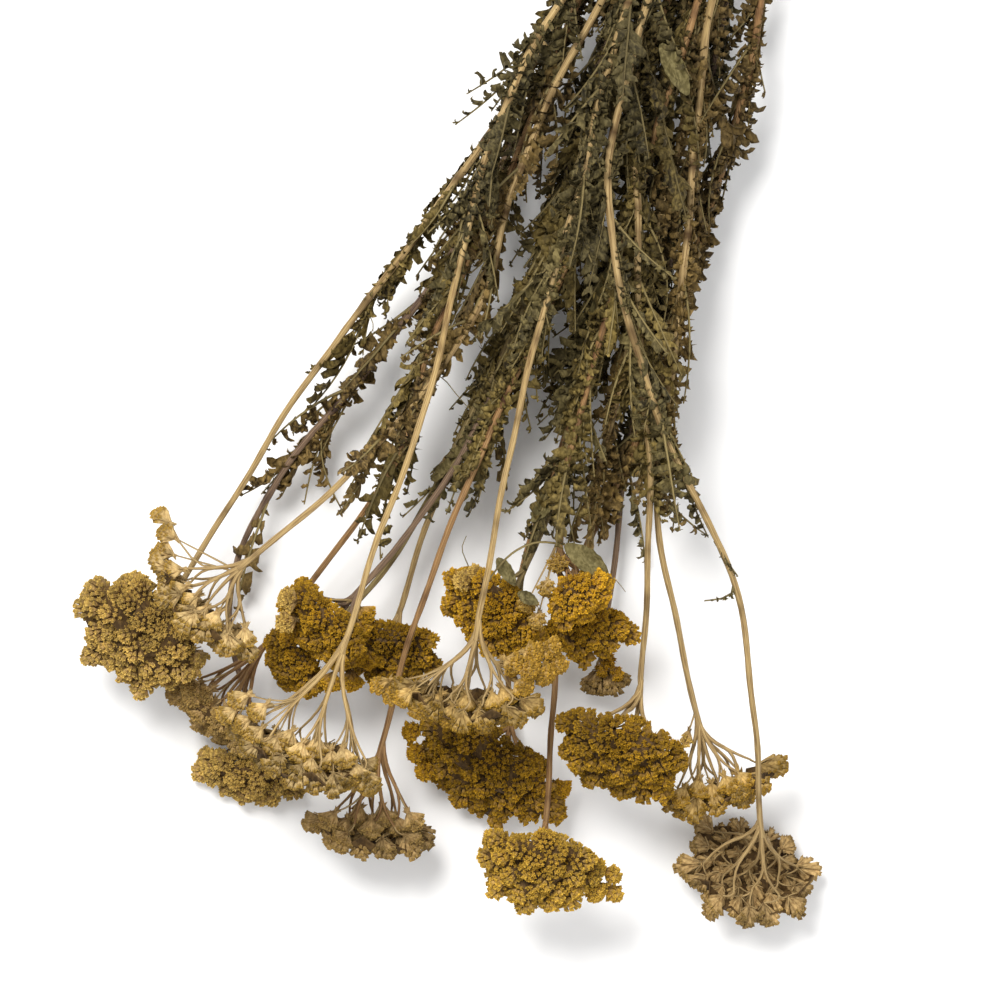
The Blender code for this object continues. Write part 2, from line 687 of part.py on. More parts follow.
def main():
    clear_scene()
    bunch = bpy.data.collections.new("dried_yarrow")
    bpy.context.scene.collection.children.link(bunch)
    room = Room()
    heads = {}
    stems = {}
    shoots = {}
    for flower in FLOWERS:
        heads[flower.name] = head_object(flower, bunch)
        stations = stem_stations(flower)
        stems[flower.name] = tube_mesh("stem_" + flower.name, stations, stem_radii(len(stations)), bunch)
        shoots[flower.name] = bpy.data.collections.new("shoots_" + flower.name)
        bpy.context.scene.collection.children.link(shoots[flower.name])
        room.add_object("head" + flower.name, heads[flower.name])
        room.add_object("tube" + flower.name, stems[flower.name])
        for ray in ray_objects(flower, shoots[flower.name]):
            room.add_object("ray" + flower.name, ray)
    tie = tie_object(bunch)
    freeze(tie)
    room.add_object("tie", tie)
    for flower in FLOWERS:
        leaf_objects(flower, room, shoots[flower.name])
    for flower in FLOWERS:
        count = len(shoots[flower.name].objects)
        fuse(stems[flower.name], shoots[flower.name])
        print(flower.name, "shoots", count, "stem triangles", len(stems[flower.name].data.polygons),
              "head triangles", len(heads[flower.name].data.polygons))
    lay_down([tie, *stems.values(), *heads.values()])
    for flower in FLOWERS:
        paint(stems[flower.name], "stem", 0.8)
        paint(heads[flower.name], flower.tone, 0.9)
    paint(tie, "twine", 0.9)


main()
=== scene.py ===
# %% [markdown]
# # A tied bunch of dried yarrow
# Golden yarrow dries into straw-coloured, finely ridged stems, curled leaves cut into small leaflets,
# and flat-topped heads made of thousands of tiny cups that each hold a few golden florets. This
# notebook dresses a plain solid model of such a bunch, which lies on a pale table and is seen from
# above. Everything grows where the solids stand, so the first cells repeat the plan of the bunch.

# %% Load the solid model
import json
import math
import random
from collections import namedtuple

import bpy
import numpy as np
from mathutils import Matrix, Vector
from mathutils.bvhtree import BVHTree

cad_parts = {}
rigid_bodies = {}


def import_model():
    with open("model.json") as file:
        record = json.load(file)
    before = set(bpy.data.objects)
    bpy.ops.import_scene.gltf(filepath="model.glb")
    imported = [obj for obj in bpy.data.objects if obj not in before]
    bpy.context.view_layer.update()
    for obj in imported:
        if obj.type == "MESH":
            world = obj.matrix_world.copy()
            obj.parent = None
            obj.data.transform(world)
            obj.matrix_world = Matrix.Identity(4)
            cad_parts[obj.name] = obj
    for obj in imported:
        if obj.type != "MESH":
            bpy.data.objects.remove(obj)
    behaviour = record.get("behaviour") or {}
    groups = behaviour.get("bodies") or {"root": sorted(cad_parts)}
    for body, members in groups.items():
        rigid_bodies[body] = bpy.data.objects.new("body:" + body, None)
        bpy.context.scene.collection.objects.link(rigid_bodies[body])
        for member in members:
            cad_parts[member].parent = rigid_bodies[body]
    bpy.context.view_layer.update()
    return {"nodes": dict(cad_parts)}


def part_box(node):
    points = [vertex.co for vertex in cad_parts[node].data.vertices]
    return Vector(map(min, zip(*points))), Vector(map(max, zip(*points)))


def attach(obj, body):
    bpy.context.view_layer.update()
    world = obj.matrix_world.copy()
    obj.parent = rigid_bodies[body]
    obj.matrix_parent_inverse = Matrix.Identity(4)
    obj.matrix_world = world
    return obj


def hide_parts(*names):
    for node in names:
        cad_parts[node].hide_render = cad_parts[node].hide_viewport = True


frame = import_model()
print("solid pieces:", len(frame["nodes"]))

# %% [markdown]
# ## The plan of the bunch
# This bunch is nineteen flower stems held in one tie, fanning out towards the heads. Its plan could be
# read back from the solids' meshes, but a mesh doesn't know which way a stem runs. So the plan is
# repeated as a table in millimetres, seen from above, with z as the height over the table, and with it
# the few rules that placed the solids. The fine pieces then grow in exactly the same places.

# %% Sizes in millimetres
MM = 0.001
GOLDEN_ANGLE = math.pi * (3.0 - math.sqrt(5.0))
STEM_RADIUS, STEM_TOP_RADIUS, STEM_STATIONS = 2.2, 1.45, 10
SLOT_PITCH, STUB_LENGTH, STUB_UNEVEN, STRAIGHT_LENGTH, SEAT_GAP = 4.9, 58.0, 9.0, 22.0, 0.35
TWINE_THICKNESS, TIE_TURNS, PRESSED = 2.6, 3, 0.6
TIE_OUTER = 2.0 * SLOT_PITCH + STEM_RADIUS + SEAT_GAP + TWINE_THICKNESS
TIE_PLACE = Vector((140.0, 395.0, TIE_OUTER - PRESSED))
TIE_COURSE = Vector((0.38, 0.925, 0.0)).normalized()
TUFT_PITCH, TUFTED_SHARE, CUP_THICKNESS, TUFT_RISE, CONE_DROP = 11.0, 0.90, 11.0, 6.0, 3.5
OUTER_RAYS, RAY_STEP, FORK_SHARE, FORK_TURN, FAR_TIP, NEAR_TIP = 6, 1.7, 0.55, 0.3, 0.80, 0.55
LEAF_STATIONS, LEAF_LENGTH, LEAF_SLIMNESS = 5, (36.0, 58.0), (0.16, 0.21)
LEAF_LEAN, LEAF_CURL, LEAF_TWIST = (16.0, 36.0), (-25.0, 55.0), (-60.0, 60.0)
LEAF_TRIES, TRY_TURN, LEAF_STRAY, SOLID_MISS = 14, 0.8, 7.0, 1.5

# %% The table of stems
Flower = namedtuple("Flower", "name slot route joint face spread depth leafy leaves tone")

FLOWERS = [
    Flower("01", (2, 0), [(32, 225, 40), (8, 185, 42), (-21, 142, 44), (-45, 109, 44), (-89, 51, 40),
                          (-121, 0, 30)], (-152, -49, 32), (-167, -67, 64), 56, 48, (85, 250), 7, "tan"),
    Flower("02", (1, 1), [(30, 195, 58), (10, 155, 62), (-4, 98, 66), (-28, 57, 70), (-58, 21, 80),
                          (-90, -10, 87)], (-116, -31, 91), (-140, -57, 83), 62, 32, (20, 220), 8, "pale"),
    Flower("03", (4, 0), [(55, 228, 24), (35, 160, 26), (15, 100, 32), (-2, 54, 42), (-13, 27, 48),
                          (-30, -1, 54), (-53, -24, 55)], (-68, -46, 54), (-86, -62, 71), 56, 44,
           (25, 240), 7, "gold"),
    Flower("04", (1, 0), [(34, 223, 46), (12, 160, 48), (-10, 116, 52), (-30, 73, 54), (-44, 23, 48),
                          (-60, 3, 40), (-87, -42, 25)], (-111, -72, 24), (-136, -104, 32), 40, 25,
           (15, 200), 8, "brown"),
    Flower("05", (3, 0), [(40, 230, 26), (10, 170, 28), (-20, 115, 30), (-44, 79, 32), (-76, 40, 32),
                          (-97, 14, 26), (-116, -12, 18), (-124, -36, 10), (-121, -70, 4.5)],
           (-111, -108, 4.5), (-118, -135, 18), 58, 38, (-5, 200), 8, "tan"),
    Flower("06", (0, 0), [(24, 218, 62), (-4, 158, 74), (-18, 104, 80), (-32, 44, 86), (-49, -2, 90),
                          (-62, -44, 94)], (-70, -68, 95), (-89, -124, 78), 40, 26, (120, 260), 6, "pale"),
    Flower("07", (2, 2), [(78, 232, 34), (55, 165, 44), (28, 100, 52), (0, 40, 60), (-11, 9, 62),
                          (-17, 2, 63), (-33, -45, 65), (-45, -74, 60), (-51, -96, 50)],
           (-55, -117, 42), (-59, -160, 30), 43, 28, (35, 250), 7, "brown"),
    Flower("08", (3, 1), [(70, 232, 22), (45, 165, 24), (22, 100, 26), (-3, 60, 28), (-15, 30, 30),
                          (-24, 10, 30), (-31, -6, 30), (-43, -36, 28)], (-48, -58, 26),
           (-50, -77, 46), 56, 50, (35, 250), 7, "gold"),
    Flower("09", (0, 1), [(58, 225, 64), (43, 161, 78), (28, 116, 84), (12, 54, 90), (2, 11, 96),
                          (-3, -20, 100), (-6, -45, 102)], (-11, -62, 102), (-16, -99, 87), 58, 29,
           (100, 260), 6, "pale"),
    Flower("10", (4, 1), [(88, 232, 14), (70, 165, 16), (50, 90, 20), (28, 20, 24), (15, -11, 26),
                          (8, -32, 26), (5, -65, 18), (4, -88, 11)], (4, -105, 8.3),
           (-12, -131, 35), 60, 48, (0, 250), 8, "gold"),
    Flower("11", (2, 4), [(117, 219, 36), (105, 162, 34), (85, 103, 34), (72, 50, 32), (50, 0, 28),
                          (23, -60, 17), (23, -84, 36), (25, -107, 53), (24, -128, 54)], (20, -154, 46),
           (16, -172, 73), 58, 47, (10, 250), 8, "bright"),
    Flower("12", (3, 2), [(85, 232, 26), (68, 165, 34), (45, 90, 44), (30, 20, 50), (19, -12, 52)],
           (8, -39, 47), (-8, -57, 70), 56, 42, (-5, 250), 8, "gold"),
    Flower("13", (2, 3), [(92, 232, 44), (70, 165, 54), (52, 100, 60), (36, 36, 64), (27, 6, 64),
                          (23, -14, 62)], (26, -28, 60), (39, -48, 79), 36, 30, (-5, 250), 8, "gold"),
    Flower("14", (3, 3), [(98, 232, 32), (82, 165, 40), (65, 95, 46), (52, 43, 46), (44, 9, 42),
                          (39, -18, 36)], (38, -40, 30), (40, -66, 50), 42, 30, (-5, 250), 8, "gold"),
    Flower("15", (4, 2), [(104, 232, 22), (90, 165, 24), (74, 95, 26), (60, 35, 22), (52, -30, 16)],
           (47, -68, 12), (49, -88, 16), 36, 24, (5, 250), 7, "brown"),
    Flower("16", (1, 2), [(66, 225, 54), (62, 142, 64), (62, 100, 68), (63, 54, 70), (68, 0, 66),
                          (65, -50, 60)], (63, -90, 51), (50, -124, 74), 47, 46, (25, 250), 7, "gold"),
    Flower("17", (1, 3), [(96, 225, 46), (87, 150, 54), (81, 87, 58), (75, 40, 58), (70, -11, 56),
                          (79, -53, 52)], (91, -106, 44), (103, -140, 37.5), 54, 28, (0, 250), 7, "pale"),
    Flower("18", (0, 2), [(75, 250, 58), (54, 170, 74), (46, 120, 80), (56, 84, 82), (63, 55, 82),
                          (75, 25, 80), (98, -16, 76), (110, -65, 73), (115, -117, 68)],
           (118, -152, 43), (111, -176, 9.3), 54, 45, (20, 240), 7, "brown"),
    Flower("19", (2, 1), [(62, 230, 40), (40, 165, 42), (18, 100, 44), (-6, 54, 44), (-24, 15, 42),
                          (-32, 0, 38), (-56, -38, 30)], (-80, -64, 28), (-99, -77, 42), 46, 38,
           (40, 250), 7, "gold"),
]
print("stems in the plan:", len(FLOWERS))

# %% From the plan to the scene
tie_low, tie_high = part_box("tie")
PLAN_SHIFT = Vector((TIE_PLACE.x, TIE_PLACE.y, 0.0)) - Vector(
    ((tie_low.x + tie_high.x) / 2.0, (tie_low.y + tie_high.y) / 2.0, 0.0)) / MM


def in_scene(points):
    """Plan millimetres to scene metres, for a list of points."""
    return (np.array([tuple(p) for p in points], dtype=np.float64).reshape(-1, 3) - np.array(PLAN_SHIFT)) * MM


print("plan shift in mm:", [round(v, 2) for v in PLAN_SHIFT])

# %% The rules that place stems
def slot_offset(slot):
    row, place = slot
    in_row = 5 - abs(row - 2)
    return (place - (in_row - 1) / 2.0) * SLOT_PITCH, (2 - row) * SLOT_PITCH * math.sqrt(0.75)


def route_points(flower):
    """The stem's guiding points from the cut end, straight through the tie, to the joint."""
    side, rise = slot_offset(flower.slot)
    across = Vector((TIE_COURSE.y, -TIE_COURSE.x, 0.0))
    middle = TIE_PLACE + across * side + Vector((0.0, 0.0, rise))
    uneven = random.Random("stub" + flower.name).uniform(-STUB_UNEVEN, STUB_UNEVEN)
    points = [middle + TIE_COURSE * (STUB_LENGTH + uneven)]
    points.append(middle + TIE_COURSE * STRAIGHT_LENGTH)
    points.append(middle - TIE_COURSE * STRAIGHT_LENGTH)
    points += [Vector(p) for p in flower.route]
    points.append(Vector(flower.joint))
    return points


def smooth_point(points, at):
    """A point on the Catmull-Rom curve through the points, with at from 0 to 1 over its length."""
    spans = len(points) - 1
    place = min(max(at, 0.0), 1.0) * spans
    k = min(int(place), spans - 1)
    t = place - k
    p1, p2 = points[k], points[k + 1]
    p0 = points[k - 1] if k > 0 else p1 * 2.0 - p2
    p3 = points[k + 2] if k + 2 < len(points) else p2 * 2.0 - p1
    return 0.5 * (2.0 * p1 + (p2 - p0) * t + (2.0 * p0 - 5.0 * p1 + 4.0 * p2 - p3) * t * t
                  + (3.0 * p1 - 3.0 * p2 + p3 - p0) * t * t * t)


def even_route(points, count):
    """Points at equal steps of length along the smooth curve."""
    fine = [smooth_point(points, i / 200.0) for i in range(201)]
    reach = [0.0]
    for a, b in zip(fine, fine[1:]):
        reach.append(reach[-1] + (b - a).length)
    even = []
    k = 0
    for i in range(count):
        want = reach[-1] * i / (count - 1)
        while k < len(fine) - 2 and reach[k + 1] < want:
            k += 1
        part = (want - reach[k]) / max(reach[k + 1] - reach[k], 1e-9)
        even.append(fine[k].lerp(fine[k + 1], part))
    return even


print("rows of stems in the tie:", len({flower.slot[0] for flower in FLOWERS}))

# %% The rules that place heads and rays
def head_axes(flower):
    """The head's outward direction, its level direction across, and its depth direction."""
    out = (Vector(flower.face) - Vector(flower.joint)).normalized()
    across = Vector((0.0, 0.0, 1.0)).cross(out).normalized()
    return out, across, out.cross(across)


def head_reach(flower):
    return (Vector(flower.face) - Vector(flower.joint)).length


def head_size(flower):
    """Half widths of the head across and in depth, along its curve."""
    reach = head_reach(flower)
    return reach * math.radians(flower.spread), reach * math.radians(flower.depth)


def head_point(flower, s, t, rise):
    """A point of the head: s across and t in depth from -1 to 1, rise out of its middle surface."""
    out, across, deep = head_axes(flower)
    reach = head_reach(flower)
    turn = Vector((math.radians(flower.spread) * s, math.radians(flower.depth) * t))
    angle = turn.length
    flatness = 0.75 + 0.25 / max(math.cos(angle), 0.35)
    course = out * math.cos(angle)
    if angle > 1e-6:
        course += (across * turn.x + deep * turn.y) * (math.sin(angle) / angle)
    return Vector(flower.joint) + course * (reach * flatness + rise)


def edge_wave(flower, angle):
    """The lobed outline of a head as a factor close to 1."""
    phase = random.Random("edge" + flower.name).uniform(0.0, math.tau)
    return 1.0 + 0.05 * math.cos(3.0 * angle + phase) + 0.04 * math.cos(5.0 * angle - 2.0 * phase)


def tuft_places(flower):
    """Tufts spread as seeds in a sunflower do, with a little disorder, and how far each one rises."""
    wide, deep = head_size(flower)
    count = max(16, round(math.pi * wide * deep / TUFT_PITCH ** 2))
    draw = random.Random("tuft" + flower.name)
    places = []
    for i in range(count):
        angle = i * GOLDEN_ANGLE
        ring = math.sqrt((i + 0.5) / count) * TUFTED_SHARE * edge_wave(flower, angle)
        ring += draw.uniform(-0.03, 0.02)
        places.append((ring * math.cos(angle), ring * math.sin(angle), draw.uniform(-0.2, 0.5)))
    return places


def ray_tips(flower):
    """Where the rays meet the cup: one in the middle, then a forked pair for each outer ray."""
    turn = random.Random("ray" + flower.name).uniform(0.0, math.tau)
    tips = [(0.0, 0.0)]
    for i in range(OUTER_RAYS):
        angle = turn + math.tau * i / OUTER_RAYS
        for ring, fork in ((FAR_TIP, -FORK_TURN), (NEAR_TIP, FORK_TURN)):
            tips.append((ring * math.cos(angle + fork), ring * math.sin(angle + fork)))
    return tips


def tip_points(flower):
    drop = CUP_THICKNESS + CONE_DROP + SEAT_GAP
    return [head_point(flower, s, t, -drop) for s, t in ray_tips(flower)]


def stem_stations(flower):
    """The solid tube's points: two in the tie, even steps to the joint, then the middle ray's end."""
    points = route_points(flower)
    return points[:2] + even_route(points[2:], STEM_STATIONS) + [tip_points(flower)[0]]


STATIONS = {flower.name: stem_stations(flower) for flower in FLOWERS}
print("tufts on all the heads:", sum(len(tuft_places(flower)) for flower in FLOWERS))

# %% [markdown]
# ## A tool for stalks
# Stems, rays, leaf ribs and twine are all rods along a path. A curve object with a bevel could draw
# them, but it knows one outline only and leaves no trace of what is along and what is around. So a
# Geometry Nodes tree sweeps a ridged circle along any polyline: each point carries its own radius, and
# one tree serves a thick stem and a hair-thin stalk. It also stores the place across and along the rod
# in an attribute called grain, and a material can then draw fibres that follow the bend of the stem.

# %% Helpers for node trees
def new_group(kind, name, inputs, outputs):
    """An empty node group, with the sockets that it is given and the sockets that it has to fill."""
    tree = bpy.data.node_groups.new(name, kind)
    for label, socket, value in inputs:
        made = tree.interface.new_socket(label, in_out="INPUT", socket_type="NodeSocket" + socket)
        if value is not None:
            made.default_value = value
    for label, socket in outputs:
        tree.interface.new_socket(label, in_out="OUTPUT", socket_type="NodeSocket" + socket)
    return tree, tree.nodes.new("NodeGroupInput").outputs, tree.nodes.new("NodeGroupOutput").inputs


def add_node(tree, kind, links=None, **settings):
    """A node with its settings. An input takes a value, a socket, or the first output of a node."""
    node = tree.nodes.new(kind)
    for key, value in settings.items():
        setattr(node, key, value)
    for key, value in (links or {}).items():
        target = next((s for s in node.inputs if s.identifier == key), None) or node.inputs[key]
        if isinstance(value, bpy.types.Node):
            value = value.outputs[0]
        if isinstance(value, bpy.types.NodeSocket):
            tree.links.new(value, target)
        else:
            target.default_value = value
    return node


def out_of(node, identifier):
    return next(s for s in node.outputs if s.identifier == identifier)


def named(tree, label, kind):
    """Reads an attribute of the points."""
    node = add_node(tree, "GeometryNodeInputNamedAttribute", {"Name": label}, data_type=kind)
    return next(s for s in node.outputs if s.enabled and s.name == "Attribute")


def math_node(tree, operation, first, second):
    return add_node(tree, "ShaderNodeMath", {0: first, 1: second}, operation=operation)


def scaled(tree, vector, factor):
    """A vector or a colour times a number."""
    return add_node(tree, "ShaderNodeVectorMath", {0: vector, "Scale": factor}, operation="SCALE")


def stretched(tree, vector, factors):
    """A vector with each of its numbers times a factor of its own."""
    return add_node(tree, "ShaderNodeVectorMath", {0: vector, 1: factors}, operation="MULTIPLY")


def carried(tree, curve, kind, label, value):
    """Keeps a value on the points of a curve, to be read after the sweep."""
    node = add_node(tree, "GeometryNodeCaptureAttribute", {"Geometry": curve}, domain="POINT")
    node.capture_items.new(kind, label)
    tree.links.new(value, node.inputs[1])
    return node


def ended(tree, geometry, finish, result):
    """Ends a tree as a plain mesh with its material."""
    whole = add_node(tree, "GeometryNodeRealizeInstances", {"Geometry": geometry})
    painted = add_node(tree, "GeometryNodeSetMaterial", {"Geometry": whole, "Material": finish})
    tree.links.new(painted.outputs[0], result[0])
    return tree


# %% Helpers for meshes
ATTRIBUTE_KINDS = {"vector": ("FLOAT_VECTOR", "vector", np.float32), "i": ("INT", "value", np.int32),
                   "f": ("FLOAT", "value", np.float32)}


def new_mesh(name, points, edges, faces, **values):
    """A mesh with numbers or vectors stored on its points, each kind under its name."""
    mesh = bpy.data.meshes.new(name)
    mesh.from_pydata([tuple(p) for p in points], edges, faces)
    for label, numbers in values.items():
        numbers = np.array(numbers)
        kind, slot, form = ATTRIBUTE_KINDS["vector" if numbers.ndim == 2 else numbers.dtype.kind]
        mesh.attributes.new(label, kind, "POINT").data.foreach_set(slot, numbers.astype(form).ravel())
    return mesh


def new_object(name, mesh):
    """An object in the scene, unturned at the origin."""
    made = bpy.data.objects.new(name, mesh)
    bpy.context.scene.collection.objects.link(made)
    return made


def triangles(pieces):
    return sum(len(p.vertices) - 2 for piece in pieces for p in piece.data.polygons)


def grown(name, source, tree, settings):
    """Runs a tree on a source mesh and keeps the result as a plain mesh at the origin."""
    holder = new_object(source.name, source)
    modifier = holder.modifiers.new("grow", "NODES")
    modifier.node_group = tree
    for item in tree.interface.items_tree:
        if item.item_type == "SOCKET" and item.in_out == "INPUT" and item.name in settings:
            modifier[item.identifier] = settings[item.name]
    bpy.context.view_layer.update()
    reader = bpy.context.evaluated_depsgraph_get()
    mesh = bpy.data.meshes.new_from_object(holder.evaluated_get(reader))
    mesh.name = name
    bpy.data.objects.remove(holder)
    bpy.data.meshes.remove(source)
    return new_object(name, mesh)


# %% The stalk tree
def stalk_tree():
    tree, given, result = new_group("GeometryNodeTree", "stalks", [
        ("Geometry", "Geometry", None), ("Sides", "Int", 8), ("Ridge", "Float", 0.0),
        ("Bark", "Material", None),
    ], [("Geometry", "Geometry")])
    ring = add_node(tree, "GeometryNodeCurvePrimitiveCircle", {"Resolution": given["Sides"], "Radius": 1.0})
    odd = math_node(tree, "MODULO", add_node(tree, "GeometryNodeInputIndex"), 2.0)
    keep = math_node(tree, "SUBTRACT", 1.0, math_node(tree, "MULTIPLY", odd, given["Ridge"]))
    place = add_node(tree, "GeometryNodeInputPosition")
    shaped = add_node(tree, "GeometryNodeSetPosition",
                      {"Geometry": ring, "Position": scaled(tree, place, keep)})
    around = carried(tree, shaped, "VECTOR", "round", place.outputs[0])
    rail = add_node(tree, "GeometryNodeMeshToCurve", {"Mesh": given["Geometry"]})
    length = add_node(tree, "GeometryNodeSplineParameter").outputs["Length"]
    along = carried(tree, rail, "FLOAT", "length", length)
    width = named(tree, "radius", "FLOAT")
    swept = add_node(tree, "GeometryNodeCurveToMesh",
                     {"Curve": along, "Profile Curve": around, "Scale": width, "Fill Caps": True})
    split = add_node(tree, "ShaderNodeSeparateXYZ", {0: around.outputs[1]})
    grain = add_node(tree, "ShaderNodeCombineXYZ",
                     {0: split.outputs[0], 1: split.outputs[1], 2: along.outputs[1]})
    stored = add_node(tree, "GeometryNodeStoreNamedAttribute",
                      {"Geometry": swept, "Name": "grain", "Value": grain},
                      data_type="FLOAT_VECTOR", domain="POINT")
    smooth = add_node(tree, "GeometryNodeSetShadeSmooth", {"Geometry": stored})
    return ended(tree, smooth, given["Bark"], result)


STALKS = stalk_tree()


class Rods:
    """Collects polylines, with a radius, a shade and a knot value at each point."""

    def __init__(self):
        self.points, self.edges, self.radius, self.shade, self.knot = [], [], [], [], []

    def add(self, path, radii, shade=0.5, knots=None):
        first = len(self.points)
        self.points += path
        self.edges += [(first + i, first + i + 1) for i in range(len(path) - 1)]
        self.radius += [r * MM for r in radii]
        self.shade += [shade] * len(path)
        self.knot += [0.0] * len(path) if knots is None else knots

    def grow(self, name, sides, ridge, bark):
        source = new_mesh(name + "_guide", in_scene(self.points), self.edges, [], radius=self.radius,
                          shade=self.shade, knot=self.knot)
        return grown(name, source, STALKS, {"Sides": sides, "Ridge": ridge, "Bark": bark})


print("tree ready:", STALKS.name, "with", len(STALKS.nodes), "nodes")

# %% [markdown]
# ## Dried colours
# Nothing on a dried plant has one flat colour. Painted pictures could be wrapped round every stem and
# cup, but thousands of small pieces have no room for seams. So each surface mixes three tones by two
# noises: a wide one for the fading that comes in patches, and a fine one, stretched along the fibres,
# for streaks. Both live in one shader group, and stems, cups, leaves and twine weather alike. Florets
# also darken in their dips, and the cups darken towards their feet: painted shade, where little light
# comes.

# %% The shader group for weathered plant tissue
FADED, STREAKED = (0.38, 0.68), (0.42, 0.72)
WHOLE, SHADES, ROUGHNESS = (0.0, 1.0), (0.55, 1.35), (0.95, 0.6)


def spread(tree, value, start, end=WHOLE):
    """A value moved from one range to another."""
    return add_node(tree, "ShaderNodeMapRange", {"Value": value, "From Min": start[0], "From Max": start[1],
                                                 "To Min": end[0], "To Max": end[1]})


def mixed(tree, factor, first, second):
    """A colour between two."""
    node = add_node(tree, "ShaderNodeMix", {"Factor_Float": factor, "A_Color": first, "B_Color": second},
                    data_type="RGBA")
    return out_of(node, "Result_Color")


def weathered_group():
    tree, given, result = new_group("ShaderNodeTree", "weathered", [
        ("Place", "Vector", None), ("Main", "Color", (0.5, 0.4, 0.2, 1)),
        ("Dark", "Color", (0.2, 0.1, 0.05, 1)), ("Light", "Color", (0.8, 0.7, 0.5, 1)),
        ("Patch scale", "Float", 60.0), ("Streak scale", "Float", 900.0),
        ("Stretch", "Vector", (1.0, 1.0, 1.0)), ("Shade", "Float", 0.5),
    ], [("Color", "Color"), ("Height", "Float"), ("Rough", "Float")])
    patch = add_node(tree, "ShaderNodeTexNoise",
                     {"Vector": given["Place"], "Scale": given["Patch scale"], "Detail": 3.0})
    pulled = stretched(tree, given["Place"], given["Stretch"])
    streak = add_node(tree, "ShaderNodeTexNoise",
                      {"Vector": pulled, "Scale": given["Streak scale"], "Detail": 4.0})
    faded = mixed(tree, spread(tree, patch, FADED), given["Main"], given["Dark"])
    streaked = mixed(tree, spread(tree, streak, STREAKED), faded, given["Light"])
    # The shade scales the brightness. It is a random tone of each piece, and in places painted shade as well:
    # lobe valleys and twigs in heads, heads lying low, leaves at the top of the bunch.
    toned = scaled(tree, streaked, spread(tree, given["Shade"], WHOLE, SHADES))
    rough = spread(tree, streak, WHOLE, ROUGHNESS)
    for label, node in (("Color", toned), ("Height", streak), ("Rough", rough)):
        tree.links.new(node.outputs[0], result[label])
    return tree


WEATHERED = weathered_group()
print("group ready:", WEATHERED.name, "with", len(WEATHERED.nodes), "nodes")

# %% Paints for stems, florets and leaves
def linear(srgb):
    """A colour as it is read off a screen, 0 to 255, in the numbers that a shader wants."""
    return tuple(c / 255 / 12.92 if c <= 10 else ((c / 255 + 0.055) / 1.055) ** 2.4 for c in srgb) + (1.0,)


def new_paint(name):
    paint = bpy.data.materials.new(name)
    paint.use_nodes = True
    shader = paint.node_tree.nodes["Principled BSDF"]
    shader.inputs["Specular IOR Level"].default_value = 0.25
    return paint, paint.node_tree, shader


def attribute(tree, label, part="Fac"):
    """Reads what a mesh carries on its points."""
    return add_node(tree, "ShaderNodeAttribute", attribute_name=label).outputs[part]


def weathered(tree, place, tones, patch, streak, stretch):
    """The shared weathering of a main, a dark and a light tone, in the shade that the piece carries."""
    return add_node(tree, "ShaderNodeGroup", {
        "Place": place, "Main": tones[0], "Dark": tones[1], "Light": tones[2], "Patch scale": patch,
        "Streak scale": streak, "Stretch": stretch, "Shade": attribute(tree, "shade"),
    }, node_tree=WEATHERED).outputs


def cover(tree, shader, colour, worn, strength, depth):
    """Gives a shader its colour, its roughness and a fine bump."""
    tree.links.new(colour, shader.inputs["Base Color"])
    tree.links.new(worn["Rough"], shader.inputs["Roughness"])
    raised = add_node(tree, "ShaderNodeBump",
                      {"Height": worn["Height"], "Strength": strength, "Distance": depth})
    tree.links.new(raised.outputs[0], shader.inputs["Normal"])


def bark_paint(name, *tones):
    """Fibres that follow the stem, and dark knots where leaves grew."""
    paint, tree, shader = new_paint(name)
    tones = [linear(tone) for tone in tones]
    along = stretched(tree, attribute(tree, "grain", "Vector"), (1.0, 1.0, 60.0))
    worn = weathered(tree, along, tones, 2.0, 6.0, (1.0, 1.0, 0.07))
    scar = tuple(0.55 * c for c in tones[1][:3]) + (1.0,)
    cover(tree, shader, mixed(tree, attribute(tree, "knot"), worn["Color"], scar), worn, 0.6, 0.0004)
    return paint


# Heights and gold values over which painted shade darkens the cup feet and the floret dips.
FOOT_HEIGHTS, DIPS, DIP_LIGHT = (-3.0, 1.6), (0.6, 0.9), 0.45


def floret_paint(name, tones, foot_light=0.3, gilt=(0.25, 0.75)):
    """Papery striped cups that end in crumbly florets: the attribute gold tells one from the other. Painted
    shade darkens the cups towards their feet and the florets in their dips.
    """
    paint, tree, shader = new_paint(name)
    floret, deep, cup, cup_dark = (linear(tone) for tone in tones)
    pale_cup = tuple(min(1.25 * c, 0.95) for c in cup[:3]) + (1.0,)
    pale_floret = (min(1.38 * floret[0], 0.95), min(1.45 * floret[1], 0.9), 1.3 * floret[2], 1.0)
    grain = attribute(tree, "grain", "Vector")
    gold = attribute(tree, "gold")
    papery = weathered(tree, grain, (cup, cup_dark, pale_cup), 0.5, 2.6, (1.0, 1.0, 0.25))
    crumbly = weathered(tree, grain, (floret, deep, pale_floret), 0.8, 2.2, (1.0, 1.0, 1.0))
    height = add_node(tree, "ShaderNodeSeparateXYZ", {0: grain}).outputs[2]
    # Painted shade: the cups darken towards their feet, and the florets in their dips, where gold is low.
    foot = spread(tree, height, FOOT_HEIGHTS, (foot_light, 1.0))
    dip = spread(tree, gold, DIPS, (DIP_LIGHT, 1.0))
    colour = mixed(tree, spread(tree, gold, gilt), scaled(tree, papery["Color"], foot),
                   scaled(tree, crumbly["Color"], dip))
    cover(tree, shader, colour, crumbly, 0.5, 0.0004)
    return paint


def leaf_paint(name, *tones):
    """Curled leaf tissue: olive to brown in patches, with a felty bump."""
    paint, tree, shader = new_paint(name)
    place = add_node(tree, "ShaderNodeTexCoord").outputs["Object"]
    worn = weathered(tree, place, [linear(tone) for tone in tones], 45.0, 700.0, (1.0, 0.5, 1.0))
    cover(tree, shader, worn["Color"], worn, 0.5, 0.0005)
    return paint


